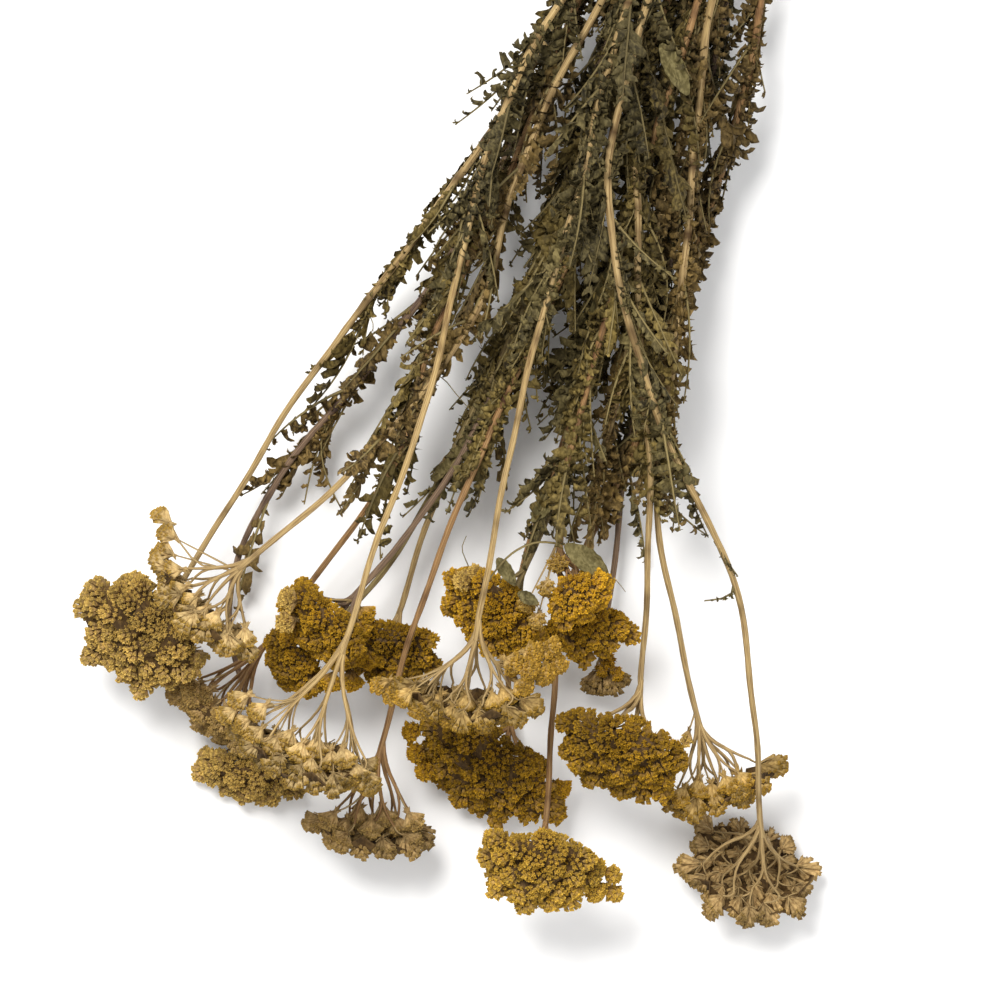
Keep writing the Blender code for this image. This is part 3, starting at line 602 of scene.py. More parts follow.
# %% The finishes of this bunch
BARKS = {name: bark_paint(finish, *tones) for name, finish, *tones in (
    ("straw", "straw", (160, 134, 86), (100, 74, 42), (192, 166, 118)),
    ("bright straw", "bright_straw", (170, 142, 90), (110, 82, 46), (202, 176, 126)),
    ("orange", "orange_stem", (142, 105, 64), (90, 58, 36), (176, 144, 98)),
    ("purple", "purple_stem", (112, 90, 70), (68, 50, 44), (148, 124, 98)),
    ("olive", "olive_stem", (126, 108, 66), (80, 64, 38), (160, 142, 98)),
)}
STEM_TONES = {"03": "purple", "04": "orange", "05": "purple", "06": "bright straw", "07": "orange",
              "10": "orange", "11": "orange", "12": "olive", "13": "orange", "15": "purple", "19": "olive"}
# Cups seen from the side: less painted shade at their feet, and a wider blend from cup to floret.
FOOT_SHADE_AND_GILT = (0.75, (0.35, 0.85))
FLORETS = {name: floret_paint(name.replace(" ", "_") + "_florets", tones, *cups) for name, cups, *tones in (
    ("tan", (), (202, 168, 90), (138, 104, 46), (182, 150, 94), (122, 90, 50)),
    ("pale", FOOT_SHADE_AND_GILT, (168, 134, 58), (120, 88, 32), (202, 174, 118), (148, 116, 72)),
    ("gold", (), (192, 146, 30), (118, 84, 14), (176, 138, 68), (116, 82, 34)),
    ("bright", (), (202, 163, 64), (136, 99, 26), (190, 156, 88), (134, 100, 46)),
    ("pale gold", FOOT_SHADE_AND_GILT, (176, 136, 46), (120, 88, 28), (194, 162, 98), (136, 104, 56)),
    ("brown", FOOT_SHADE_AND_GILT, (164, 134, 76), (110, 80, 40), (184, 154, 102), (126, 96, 56)),
)}
# Chaff deep in the heads, darkened as painted shade.
SHADED_CHAFF_PAINT = leaf_paint("dark_chaff", (74, 54, 26), (44, 30, 14), (98, 74, 38))
LEAVES = [leaf_paint(name, *tones) for name, *tones in (
    ("olive_leaf", (100, 84, 40), (46, 37, 15), (144, 124, 68)),
    ("brown_leaf", (102, 82, 42), (48, 35, 16), (146, 120, 68)),
    ("dusky_leaf", (90, 79, 45), (42, 36, 20), (130, 116, 72)),
    ("broad_leaf", (94, 85, 50), (58, 50, 27), (128, 117, 76)),
)]
RIB = bark_paint("leaf_rib", (122, 106, 64), (70, 58, 32), (152, 136, 90))
print("finishes:", len(BARKS) + len(FLORETS) + len(LEAVES))

# %% [markdown]
# ## Stems with their rays
# A yarrow stem is a stiff, ridged rod that swells a little at every knot where a leaf grows. At its
# top it parts into rays, and each ray forks once more before the tufts. Stretched cylinders would be
# quicker, but they would meet in corners. So each stem follows its solid's own points on a smooth
# curve, with swellings, small dents, dark scars and a hint of crookedness, and the rays leave its last
# stretch one above the other in soft bends, as they do on the plant.

# %% Smooth paths
def smooth_path(points, step):
    """A smooth curve through the points, read about every step millimetres."""
    length = sum((b - a).length for a, b in zip(points, points[1:]))
    count = max(3, round(length / step))
    return [smooth_point(points, i / count) for i in range(count + 1)]


def bent(a, b, towards, share):
    """A soft bend from a to b that leaves a in a given direction."""
    pull = a + towards * ((b - a).length * share)
    return [a * (1 - t) ** 2 + pull * (2 * t * (1 - t)) + b * t * t for t in (0.0, 0.25, 0.5, 0.75, 1.0)]


# %% Where leaves and rays leave a stem
PATH_STEP, SWELL_REACH, SCAR_REACH = 5.0, 4.0, 2.6
GIRTH_WAVE, CROOK, SCAR_CHANCE, SCAR_DEPTH, IN_TIE = 0.035, 0.35, 0.12, 0.5, 8
STEM_SIDES, STEM_RIDGE = 10, 0.1
MIDDLE_GIRTHS = (1.2, 1.0, 0.85, 0.7, 0.55)
RAY_GIRTHS = (1.3, 1.15, 1.02, 0.95, 0.92)
FORK_GIRTHS = (0.84, 0.74, 0.64, 0.58, 0.5)


def crossings(flower, y):
    """Where the stem's axis passes a given y on its way to the head, and its course there."""
    stations = STATIONS[flower.name]
    for a, b in zip(stations, stations[1:]):
        if a.y >= y > b.y:
            yield a.lerp(b, (a.y - y) / (a.y - b.y)), (b - a).normalized()


def stem_at(flower, y):
    return next(crossings(flower, y))


def leaf_roots(flower):
    """Places on the stem's axis and its course there, spread over the leafy stretch of y."""
    draw = random.Random("root" + flower.name)
    low, high = flower.leafy
    return [stem_at(flower, high - (high - low) * (i + draw.uniform(0.2, 0.8)) / flower.leaves)
            for i in range(flower.leaves)]


def stem_path(flower):
    """The stem's fine path up to the joint, with a radius and a knot value at each point."""
    path = smooth_path(STATIONS[flower.name][:-1], PATH_STEP)
    knots_at = [root for root, _ in leaf_roots(flower)]
    draw = random.Random("bark" + flower.name)
    phase = draw.uniform(0.0, 9.0)
    fall = (STEM_RADIUS - STEM_TOP_RADIUS) / (len(path) - 1)
    radii = []
    knots = []
    for i, p in enumerate(path):
        near = min((p - q).length for q in knots_at)
        swell = math.exp(-(near / SWELL_REACH) ** 2)
        wave = GIRTH_WAVE * math.sin(1.9 * i + phase) + draw.uniform(-GIRTH_WAVE, GIRTH_WAVE)
        radii.append((STEM_RADIUS - fall * i) * (0.96 + 0.16 * swell + wave))
        scar = SCAR_DEPTH if draw.random() < SCAR_CHANCE else 0.0
        knots.append(0.8 * math.exp(-(near / SCAR_REACH) ** 2) + scar)
        if IN_TIE < i < len(path) - 2:
            path[i] = p + Vector((math.sin(i * 0.55 + phase), 0.0, math.sin(i * 0.43 + 2.0 * phase))) * CROOK
    return path, radii, knots


def joint_course(flower):
    """The stem's joint, and the direction back along the stem."""
    before, joint = STATIONS[flower.name][-3:-1]
    return joint, (before - joint).normalized()


def outer_rays(flower):
    """Each outer ray's way from the stem to its fork, and its two tips."""
    joint, back = joint_course(flower)
    tips = tip_points(flower)
    for i in range(OUTER_RAYS):
        root = joint + back * (RAY_STEP * (i + 0.5))
        near, far = tips[1 + 2 * i], tips[2 + 2 * i]
        fork = root.lerp((near + far) * 0.5, FORK_SHARE)
        yield bent(root, fork, ((fork - root).normalized() - back).normalized(), 0.5), (near, far)


print("leaf roots on all the stems:", sum(len(leaf_roots(flower)) for flower in FLOWERS))

# %% Grow the stems
def grow_stem(flower):
    """The stem and its rays in one mesh."""
    rods = Rods()
    draw = random.Random("rays" + flower.name)
    path, radii, knots = stem_path(flower)
    rods.add(path, radii, draw.uniform(0.4, 0.6), knots)
    joint, back = joint_course(flower)
    rods.add(bent(joint + back * 2.0, tip_points(flower)[0], -back, 0.5), MIDDLE_GIRTHS, 0.6)
    for stalk, tips in outer_rays(flower):
        rods.add(stalk, RAY_GIRTHS, draw.uniform(0.5, 0.7))
        course = (stalk[-1] - stalk[-2]).normalized()
        for tip in tips:
            rods.add(bent(stalk[-1], tip, course, 0.5), FORK_GIRTHS, draw.uniform(0.5, 0.75))
    bark = BARKS[STEM_TONES.get(flower.name, "straw")]
    return rods.grow("stem_" + flower.name + "_bark", STEM_SIDES, STEM_RIDGE, bark)


barks = {flower.name: grow_stem(flower) for flower in FLOWERS}
print("stems grown:", len(barks), "triangles:", triangles(barks.values()))

# %% [markdown]
# ## Heads of florets
# What looks like one flower is a flat-topped cluster. Hundreds of slim papery cups, a few
# millimetres long, stand close together in tufts, and golden florets fill the mouth of each cup. A
# bumpy dome would do from across a room, but from a step away the eye finds the single cups. So ten
# cup shapes are modelled once, five with their round foot and five cut short for the places where
# the neighbours hide the foot.

# %% Cup shapes
CUP_KINDS, CUP_SIDES = 5, 5


def cup_mesh(name, full, draw):
    """One cup in millimetres: a rounded papery foot, a full belly, and a crown of florets at its mouth."""
    n = CUP_SIDES
    lean = Vector((draw.uniform(-0.3, 0.3), draw.uniform(-0.3, 0.3), 0.0))
    girth = draw.uniform(0.9, 1.12)
    vertices, gold = [Vector((0.0, 0.0, -5.0 if full else -0.8))], [0.0]

    def ring(z, radius, turn, tint):
        first = len(vertices)
        for k in range(n):
            angle = math.tau * (k + turn) / n
            vertices.append(Vector((math.cos(angle) * radius * girth, math.sin(angle) * radius * girth, z))
                            + lean * (z / 4.0))
            gold.append(tint)
        return first

    neck = ring(-3.5, 0.5, 0.5, 0.0) if full else None
    throat = ring(-0.7, 0.9, 0.0, 0.0) if full else None
    belly = ring(2.3, 1.04, 0.5, 0.05)
    peaks = ring(4.5, 1.22, 0.0, 1.0)
    # The dips carry less gold, which the paint turns into painted shade between the florets.
    dips = ring(3.8, 0.66, 0.5, 0.65)
    for k in range(n):
        vertices[peaks + k] += Vector([draw.uniform(-most, most) for most in (0.25, 0.25, 0.5)])
    vertices.append(Vector((0.0, 0.0, draw.uniform(4.5, 5.0))) + lean)
    gold.append(draw.uniform(0.8, 1.0))
    top = len(vertices) - 1
    faces = []
    for k in range(n):
        k1 = (k + 1) % n
        if full:
            faces += [(0, neck + k1, neck + k), (neck + k, neck + k1, throat + k1),
                      (neck + k, throat + k1, throat + k), (throat + k, throat + k1, belly + k),
                      (throat + k1, belly + k1, belly + k)]
        else:
            faces.append((0, belly + k1, belly + k))
        faces += [(belly + k, belly + k1, peaks + k1), (belly + k, peaks + k1, dips + k),
                  (belly + k, dips + k, peaks + k), (peaks + k, dips + k, top), (dips + k, peaks + k1, top)]
    mesh = new_mesh(name, [v * MM for v in vertices], [], faces, gold=gold,
                    grain=[tuple(v) for v in vertices])
    return bpy.data.objects.new(name, mesh)


def set_of(name, shapes):
    """A collection outside the scene, with the shapes that a tree picks from."""
    made = bpy.data.collections.new(name)
    for shape in shapes:
        made.objects.link(shape)
    return made


cup_draw = random.Random("cups")
CUPS = set_of("cups", [cup_mesh("cup_%d" % i, i >= CUP_KINDS, cup_draw) for i in range(2 * CUP_KINDS)])
print("cup shapes:", [len(o.data.polygons) for o in CUPS.objects])

# %% [markdown]
# ## Planting by Geometry Nodes
# Each cup of a head points away from the foot of its own tuft, and each leaflet away from its rib.
# Copying objects in a loop could do it, but it fills the file with thousands of objects. So a tree
# puts one shape on every point of a guide mesh. The points carry the aim, size, kind and shade, and
# the tree ends as one plain mesh.

# %% The tree that stands shapes on points
def random_number(tree, kind, least, most, seed):
    """A random number for each point, FLOAT or INT."""
    end = {"FLOAT": "_001", "INT": "_002"}[kind]
    node = add_node(tree, "FunctionNodeRandomValue",
                    {"Min" + end: least, "Max" + end: most, "Seed": seed}, data_type=kind)
    return out_of(node, "Value" + end)


def planting_tree(name, two_axes):
    """Instances aimed by the points' own directions, each with its own size and shade."""
    tree, given, result = new_group("GeometryNodeTree", name, [
        ("Geometry", "Geometry", None), ("Shapes", "Collection", None), ("Kinds", "Int", 5),
        ("Least size", "Float", 0.85), ("Most size", "Float", 1.1), ("Seed", "Int", 1),
        ("Finish", "Material", None),
    ], [("Geometry", "Geometry")])
    shapes = add_node(tree, "GeometryNodeCollectionInfo", {
        "Collection": given["Shapes"], "Separate Children": True, "Reset Children": True})
    last = math_node(tree, "SUBTRACT", given["Kinds"], 1.0)
    pick = random_number(tree, "INT", 0, last, given["Seed"])
    kind = math_node(tree, "ADD", named(tree, "kind", "INT"), pick)
    aim = named(tree, "aim", "FLOAT_VECTOR")
    if two_axes:
        turned = add_node(tree, "FunctionNodeAxesToRotation",
                          {0: named(tree, "face", "FLOAT_VECTOR"), 1: aim},
                          primary_axis="Z", secondary_axis="X")
    else:
        aimed = add_node(tree, "FunctionNodeAlignRotationToVector", {"Vector": aim}, axis="Z")
        spin = random_number(tree, "FLOAT", 0.0, math.tau, 7)
        about = add_node(tree, "FunctionNodeAxisAngleToRotation", {"Axis": (0.0, 0.0, 1.0), "Angle": spin})
        turned = add_node(tree, "FunctionNodeRotateRotation", {0: aimed, 1: about}, rotation_space="LOCAL")
    size = random_number(tree, "FLOAT", given["Least size"], given["Most size"], 3)
    scale = math_node(tree, "MULTIPLY", named(tree, "size", "FLOAT"), size)
    placed = add_node(tree, "GeometryNodeInstanceOnPoints", {
        "Points": given["Geometry"], "Instance": shapes, "Pick Instance": True, "Instance Index": kind,
        "Rotation": turned, "Scale": scale})
    return ended(tree, placed, given["Finish"], result)


FLORET_TREE = planting_tree("florets_on_head", False)
LEAFLET_TREE = planting_tree("leaflets_on_rib", True)

# %% The surface of a head
TUFT_FOOT, TUFT_RADIUS = 10.0, 6.0
LOBE_DEPTH, LOBE_TOP, LOBE_SIDE = 4.5, 4.0, 8.0


class Head:
    """A head's tufts, with the rise of its surface and the way that the cups point."""

    def __init__(self, flower):
        self.flower = flower
        self.wide, self.deep = head_size(flower)
        self.tufts = tuft_places(flower)
        self.flat = [Vector((s * self.wide, t * self.deep)) for s, t, _ in self.tufts]
        self.feet = [head_point(flower, 0.92 * s, 0.92 * t, -TUFT_FOOT) for s, t, _ in self.tufts]
        self.lobes = [Vector((s * self.wide, t * self.deep)) for s, t in ray_tips(flower)]

    def point(self, x, y, rise):
        return head_point(self.flower, x / self.wide, y / self.deep, rise)

    def edge(self, ring, angle):
        """The place in millimetres at a share of the way to the head's lobed edge."""
        factor = ring * edge_wave(self.flower, angle)
        return factor * math.cos(angle) * self.wide, factor * math.sin(angle) * self.deep

    def nearest(self, x, y):
        here = Vector((x, y))
        return min(range(len(self.flat)), key=lambda j: (self.flat[j] - here).length_squared)

    def away(self, x, y):
        """How far a place is from the middle of its lobe, which is the end of a ray."""
        return min((Vector((x, y)) - lobe).length for lobe in self.lobes)

    def valley(self, x, y):
        return min(max(self.away(x, y) - LOBE_TOP, 0.0) / LOBE_SIDE, 1.0) ** 2

    def rise(self, j, x, y):
        """Height of the cups' mouths: a small dome over each tuft, and a wide one over each ray."""
        far = min((Vector((x, y)) - self.flat[j]).length / TUFT_RADIUS, 1.25)
        dome = TUFT_RISE * self.tufts[j][2] * (1.0 - 0.5 * far * far) - 4.2 * far * far
        return dome - LOBE_DEPTH * self.valley(x, y)


print("cups point away from feet", TUFT_FOOT, "mm down")

# %% Where the cups stand
CUP_PITCH, CUP_LENGTH, CUP_SIZES = 2.47, 4.6, (0.85, 1.1)
ROW_PITCH, RIM_PITCH, CUP_STRAY = 0.87 * CUP_PITCH, 0.95 * CUP_PITCH, 0.4
MOUTH_UNEVEN, CUP_SHADES, TUFT_SHADES, VALLEY_SHADE = (-0.5, 0.4), 0.22, 0.15, 0.3
WIDEST, NOTCHED, FULL_RIM, OPEN_TUFT, NOTCH_REACH = 1.15, 0.75, 0.88, 6.7, 14.0
SEEN_FROM_BEHIND = ("02", "04", "06", "07", "09", "15", "17", "18")
# Each head's shade: partly its own tone, partly painted shade for a head that lies low in the shadow of
# others, as 10 does.
HEAD_SHADES = {"02": 0.38, "03": 0.36, "05": 0.4, "06": 0.2, "07": 0.4, "08": 0.25, "09": 0.2, "10": 0.3,
               "12": 0.6, "13": 0.7, "14": 0.4, "15": 0.3, "16": 0.2, "17": 0.36, "19": 0.25}


def head_cups(head, draw):
    """Foot, direction, kind, size and shade of every cup of a head."""
    rows = []
    base = HEAD_SHADES.get(head.flower.name, 0.5)
    tuft_shade = [base + draw.uniform(-TUFT_SHADES, TUFT_SHADES) for _ in head.tufts]
    behind = head.flower.name in SEEN_FROM_BEHIND

    def stand(x, y, extra, full):
        j = head.nearest(x, y)
        if behind and (head.flat[j] - Vector((x, y))).length > OPEN_TUFT:
            return
        if math.hypot(x / head.wide, y / head.deep) > NOTCHED and head.away(x, y) > NOTCH_REACH:
            return
        mouth = head.point(x, y, head.rise(j, x, y) + extra + draw.uniform(*MOUTH_UNEVEN))
        aim = (mouth - head.feet[j]).normalized()
        size = draw.uniform(*CUP_SIZES)
        # Painted shade: cups in the valleys between the lobes are darker.
        shade = tuft_shade[j] + draw.uniform(-CUP_SHADES, CUP_SHADES) - VALLEY_SHADE * head.valley(x, y)
        shade = min(max(shade, 0.0), 1.0)
        rows.append((mouth - aim * (CUP_LENGTH * size), aim, CUP_KINDS if full else 0, size, shade))

    lines = int(head.deep * WIDEST / ROW_PITCH) + 1
    columns = int(head.wide * WIDEST / CUP_PITCH) + 1
    for row in range(-lines, lines + 1):
        for column in range(-columns, columns + 1):
            x = (column + 0.5 * (row % 2)) * CUP_PITCH + draw.uniform(-CUP_STRAY, CUP_STRAY)
            y = row * ROW_PITCH + draw.uniform(-CUP_STRAY, CUP_STRAY)
            s, t = x / head.wide, y / head.deep
            ring = math.hypot(s, t) / edge_wave(head.flower, math.atan2(t, s))
            if ring < (1.04 if behind else 1.0):
                stand(x, y, 0.0, behind or ring > FULL_RIM)
    count = round(math.pi * (head.wide + head.deep) / RIM_PITCH)
    for ring, extra in ((1.0, -1.5), (1.03, -4.0))[:1 if behind else 2]:
        for i in range(count):
            stand(*head.edge(ring, math.tau * (i + draw.uniform(0.2, 0.8)) / count), extra, True)
    return rows


# %% [markdown]
# ## What shows between the tufts
# Fine stalks run from the ends of the rays into every tuft, and deep between the tufts a head is
# dark: chaff that lies in deep shade. All the hidden cups could be modelled, but nobody sees them. So a
# thin dark sheet closes the view through the head, its darkness painted shade, and only the stalks
# that show are grown.

# %% Branchlets and the dark heart of a head, a sheet of painted shade
BRANCH_GIRTHS = (0.72, 0.62, 0.56, 0.5, 0.46)
TWIG_GIRTHS, TWIG_REACH = (0.44, 0.4, 0.34), 4.2
HEART_DROPS, HEART_RINGS, HEART_SIDES = (2.6, 3.3), (0.2, 0.4, 0.6, 0.74, 0.84), 22


def head_branchlets(head, draw):
    """Fine stalks from the ends of the rays to the feet of the tufts, and on into each tuft."""
    rods = Rods()
    tips = tip_points(head.flower)
    out = head_axes(head.flower)[0]
    for foot, middle, j in zip(head.feet, head.flat, range(len(head.feet))):
        tip = min(tips, key=lambda p: (p - foot).length)
        course = (tip - Vector(head.flower.joint)).normalized()
        rods.add(bent(tip, foot, course, 0.5), BRANCH_GIRTHS, draw.uniform(0.6, 0.95))
        for k in range(3):
            angle = math.tau * (k + draw.uniform(0.0, 0.7)) / 3
            x = middle.x + TWIG_REACH * math.cos(angle)
            y = middle.y + TWIG_REACH * math.sin(angle)
            top = head.point(x, y, head.rise(j, x, y) - CUP_LENGTH - 2.0)
            # The twigs inside a tuft get a lower, random shade: painted shade deep in the tuft.
            rods.add([foot, foot.lerp(top, 0.5) - out * 0.5, top], TWIG_GIRTHS, draw.uniform(0.3, 0.8))
    return rods


def heart_mesh(head, name, paint):
    """A thin sheet of chaff among the cups, dark with painted shade, which no light comes through."""
    around, rings = HEART_SIDES, len(HEART_RINGS)
    places = [head.edge(ring, math.tau * k / around) for ring in HEART_RINGS for k in range(around)]
    places.append((0.0, 0.0))
    sheet = len(places)
    vertices = [head.point(x, y, head.rise(head.nearest(x, y), x, y) - drop)
                for drop in HEART_DROPS for x, y in places]
    faces = []
    for k in range(around):
        n = (k + 1) % around
        for base in (0, sheet):
            strips = [(base + sheet - 1, base + k, base + n)]
            for i in range(rings - 1):
                a, b = base + i * around + k, base + i * around + n
                strips.append((a, a + around, b + around, b))
            faces += [f[::-1] for f in strips] if base else strips
        rim = (rings - 1) * around
        faces.append((rim + k, sheet + rim + k, sheet + rim + n, rim + n))
    mesh = new_mesh(name, in_scene(vertices), [], faces, gold=np.ones(2 * sheet),
                    grain=[tuple(v) for v in vertices], shade=np.full(2 * sheet, 0.6))
    mesh.materials.append(paint)
    return new_object(name, mesh)


def joined(first, *others):
    """Makes one object of several, each with its own finish."""
    with bpy.context.temp_override(active_object=first, object=first,
                                   selected_editable_objects=[first, *others]):
        bpy.ops.object.join()
    return first


# %% [markdown]
# ## Loose tufts
# No head is a clean oval: single tufts stand apart at the rim on stalks of their own, and give each
# head its ragged outline. Noise on the rim could roughen it, but it can't make a gap with a stalk
# in it. So each loose tuft has its place and radius in a table. Its stalk starts at the root that is
# given with it, or else at the nearest fork of a ray.

# %% The table of loose tufts
# For each head, by finish, root and lift: the x, y, z and radius of every tuft.
SIDE_TUFTS = {
    "02": [("pale", (-114, -33, 82), 0.1, [(-152, -13, 84, 5), (-154, -22, 82, 5.5)]),
           ("pale", None, 0.1, [(-148, -41, 92, 5), (-142, -47, 89, 5), (-136, -55, 86, 5),
                (-129, -58, 92, 5), (-122, -66, 89, 5), (-112, -66, 86, 5), (-150, -31, 87, 5.2),
                (-154, -5, 82, 4.6)])],
    "03": [("tan", (-66, -45, 54.5), -0.1, [(-98, -44, 78, 6), (-99, -56, 76, 5.5)]),
           ("gold", (-66, -45, 54), 0.5, [(-70, -64, 60, 6.5), (-62, -62, 58, 6), (-65, -74, 54, 6.5),
                (-74, -76, 54, 6.5), (-77, -86, 48, 6), (-67, -86, 46, 6.5), (-58, -76, 48, 6),
                (-58, -55, 52, 5.5)])],
    "04": [("brown", None, 0.1, [(-143, -86, 44, 5.5), (-137, -90, 41, 5.5), (-135, -97, 38, 5.5),
                (-128, -100, 44, 5.5), (-122, -107, 41, 5.5)])],
    "06": [("pale", None, 0.1, [(-125, -97, 92, 5.2), (-118, -102, 90, 5.5), (-120, -90, 93, 4.8),
                (-111, -96, 93, 5.2), (-112, -107, 93, 5.5), (-104, -112, 90, 5.5),
                (-97, -110, 87, 5.5), (-91, -116, 93, 5.5), (-83, -114, 90, 5.5), (-76, -120, 87, 5.5),
                (-69, -119, 93, 5.5), (-63, -126, 90, 5.5), (-58, -131, 87, 5.5), (-86, -123, 93, 5.5),
                (-70, -129, 90, 5.5)])],
    "07": [("brown", None, 0.1, [(-80, -148, 43, 5.5), (-73, -152, 40, 5.5), (-66, -148, 37, 5.5),
                (-59, -153, 43, 5.5), (-52, -148, 40, 5.5), (-45, -152, 37, 5.5),
                (-37, -149, 43, 5.5)])],
    "09": [("pale gold", None, 0.8, [(9, -75, 97, 6.2)]),
           ("pale gold", None, 0.9, [(18, -69, 96, 6), (26, -66, 93, 5.6)]),
           ("pale gold", None, 0.6, [(13, -86, 94, 6.4)]),
           ("pale gold", None, 0.8, [(23, -79, 92, 6.2)]),
           ("pale gold", None, 0.9, [(29, -74, 89, 5.4)]),
           ("pale gold", None, 0.5, [(-57, -84, 88, 5), (-51, -89, 88, 5)]),
           ("pale gold", None, 0.1, [(-46, -90, 96, 5.3), (-39, -96, 93, 5.3), (-31, -94, 90, 5.3),
                (-24, -100, 96, 5.3), (-16, -95, 93, 5.3), (-8, -101, 90, 5.3), (-1, -94, 96, 5.3),
                (5, -91, 93, 5.3)]),
           ("pale gold", None, 0.9, [(16, -77, 97, 6.2)])],
    "10": [("gold", (4, -104, 9), 0.5, [(29, -134, 25, 6), (27, -146, 20, 6), (-43, -105, 34, 5.5),
                (-41, -115, 33, 5.5), (-37, -124, 32, 5.5)])],
    "11": [("bright", (20, -152, 47), 0.5, [(45, -166, 64, 5.5), (53, -170, 60, 5), (45, -178, 60, 6),
                (54, -179, 55, 4.5)])],
    "12": [("tan", (8, -38, 48), -0.2, [(-20, -36, 74, 5.5), (-14, -32, 72, 5)])],
    "13": [("pale", (26, -25, 61), 0.1, [(25, -29, 77, 5)]),
           ("pale", (25, -21, 62), 0.1, [(20, -42, 82, 4.5)]),
           ("pale", (25, -21, 62), 0.5, [(11, -48, 84, 5), (16, -56, 86, 4.5)])],
    "15": [("gold", (47, -66, 12.5), 0.5, [(50, -74, 30, 3.6), (46, -79, 28, 3.2),
                (54, -81, 27, 3.4)])],
    "17": [("tan", (88, -96, 45), 0.5, [(83, -111, 50, 3.2)]),
           ("pale gold", None, 0.1, [(80, -138, 51, 5), (89, -135, 48, 5), (97, -137, 45, 5),
                (105, -132, 51, 5), (113, -130, 48, 5)])],
}
print("loose tufts:", sum(len(group[-1]) for groups in SIDE_TUFTS.values() for group in groups))

# %% Tufts that stand apart from their head
SIDE_FOOT, SIDE_PITCH, SIDE_DOME, LONG_CUPS, SIDE_SHADES = 9.0, 1.15, 4.0, (1.0, 1.25), (0.3, 0.75)
SIDE_GIRTHS = (0.7, 0.6, 0.55, 0.5, 0.4)


def side_cups(flower, root, lift, mouth, radius, draw):
    """The cups of one small tuft, fanned out from a foot below its middle, and its stalk."""
    sizes = CUP_SIZES if root else LONG_CUPS
    start = Vector(root or flower.joint)
    out = (mouth - start).normalized()
    out = (out + Vector((0.0, 0.0, lift))).normalized()
    foot = mouth - out * SIDE_FOOT
    course = out
    if root is None:
        stalk = min((way for way, _ in outer_rays(flower)), key=lambda way: (way[-1] - foot).length)
        start = stalk[-1]
        course = (stalk[-1] - stalk[-2]).normalized()
    across = out.orthogonal().normalized()
    deep = out.cross(across)
    count = round((radius / SIDE_PITCH) ** 2)
    rows = []
    for i in range(count):
        angle, ring = i * GOLDEN_ANGLE, math.sqrt((i + 0.5) / count)
        place = across * math.cos(angle) + deep * math.sin(angle)
        end = mouth + place * (radius * ring) - out * (SIDE_DOME * ring * ring + draw.uniform(-0.4, 0.4))
        aim = (end - foot).normalized()
        size = draw.uniform(*sizes)
        rows.append((end - aim * (CUP_LENGTH * size), aim, CUP_KINDS, size, draw.uniform(*SIDE_SHADES)))
    return rows, bent(start, foot, course, 0.4)


def planted(name, tree, shapes, kinds, finish, feet, **values):
    """Stands shapes on the given places."""
    source = new_mesh(name + "_guide", in_scene(feet), [], [], **values)
    return grown(name, source, tree, {"Shapes": shapes, "Kinds": kinds, "Finish": finish})


def grow_cups(name, rows, paint):
    feet, aims, kinds, sizes, shades = zip(*rows)
    return planted(name, FLORET_TREE, CUPS, CUP_KINDS, paint, feet, aim=[tuple(a) for a in aims],
                   kind=kinds, size=sizes, shade=shades)


# %% Grow the heads
HEAD_PAINTS = {"09": "pale gold", "17": "pale gold"}


def grow_head(flower):
    draw = random.Random("head" + flower.name)
    head = Head(flower)
    rows = head_cups(head, draw)
    name = "head_" + flower.name + "_florets"
    pieces = [grow_cups(name, rows, FLORETS[HEAD_PAINTS.get(flower.name, flower.tone)])]
    stalks = head_branchlets(head, draw)
    for tone, root, lift, tufts in SIDE_TUFTS.get(flower.name, ()):
        for x, y, z, radius in tufts:
            more, stalk = side_cups(flower, root, lift, Vector((x, y, z)), radius, draw)
            stalks.add(stalk, SIDE_GIRTHS, 0.6)
            pieces.append(grow_cups(name + "_side", more, FLORETS[tone]))
    pieces.append(stalks.grow(name + "_branchlets", 3, 0.0, BARKS["straw"]))
    # The dark sheet of painted shade inside the head.
    pieces.append(heart_mesh(head, name + "_heart", SHADED_CHAFF_PAINT))
    print(flower.name, "cups:", len(rows))
    return joined(*pieces)


heads = {flower.name: grow_head(flower) for flower in FLOWERS}
print("heads grown, triangles:", triangles(heads.values()))

# %% [markdown]
# ## Leaves
# A yarrow leaf is a feather: a pale rib with many pairs of small leaflets. Drying curls every leaflet
# into a hook, so that a leaf becomes a ragged rope. A flat leaf picture on a strip of mesh would lose
# those hooks. So a dozen curled leaflets are modelled once and planted along each rib in pairs,
# largest in the middle.

# %% Curled leaflet shapes
LEAFLET_KINDS, LEAFLET_STEPS, LEAFLET_REACH, ROLLED_UP = 12, 5, 1.12, 0.7
LEAFLET_HALVES = (0.34, 0.24, 0.27, 0.22, 0.20, 0.05)
LEFT_LOBES, RIGHT_LOBES = (1.0, 0.85, 1.15), (1.0, 1.1, 0.9)
LEAFLET_CURL, LEAFLET_TWIST, LEAFLET_SWAY = (110.0, 280.0), (-90.0, 90.0), (-80.0, 80.0)
UP = Vector((0.0, 0.0, 1.0))


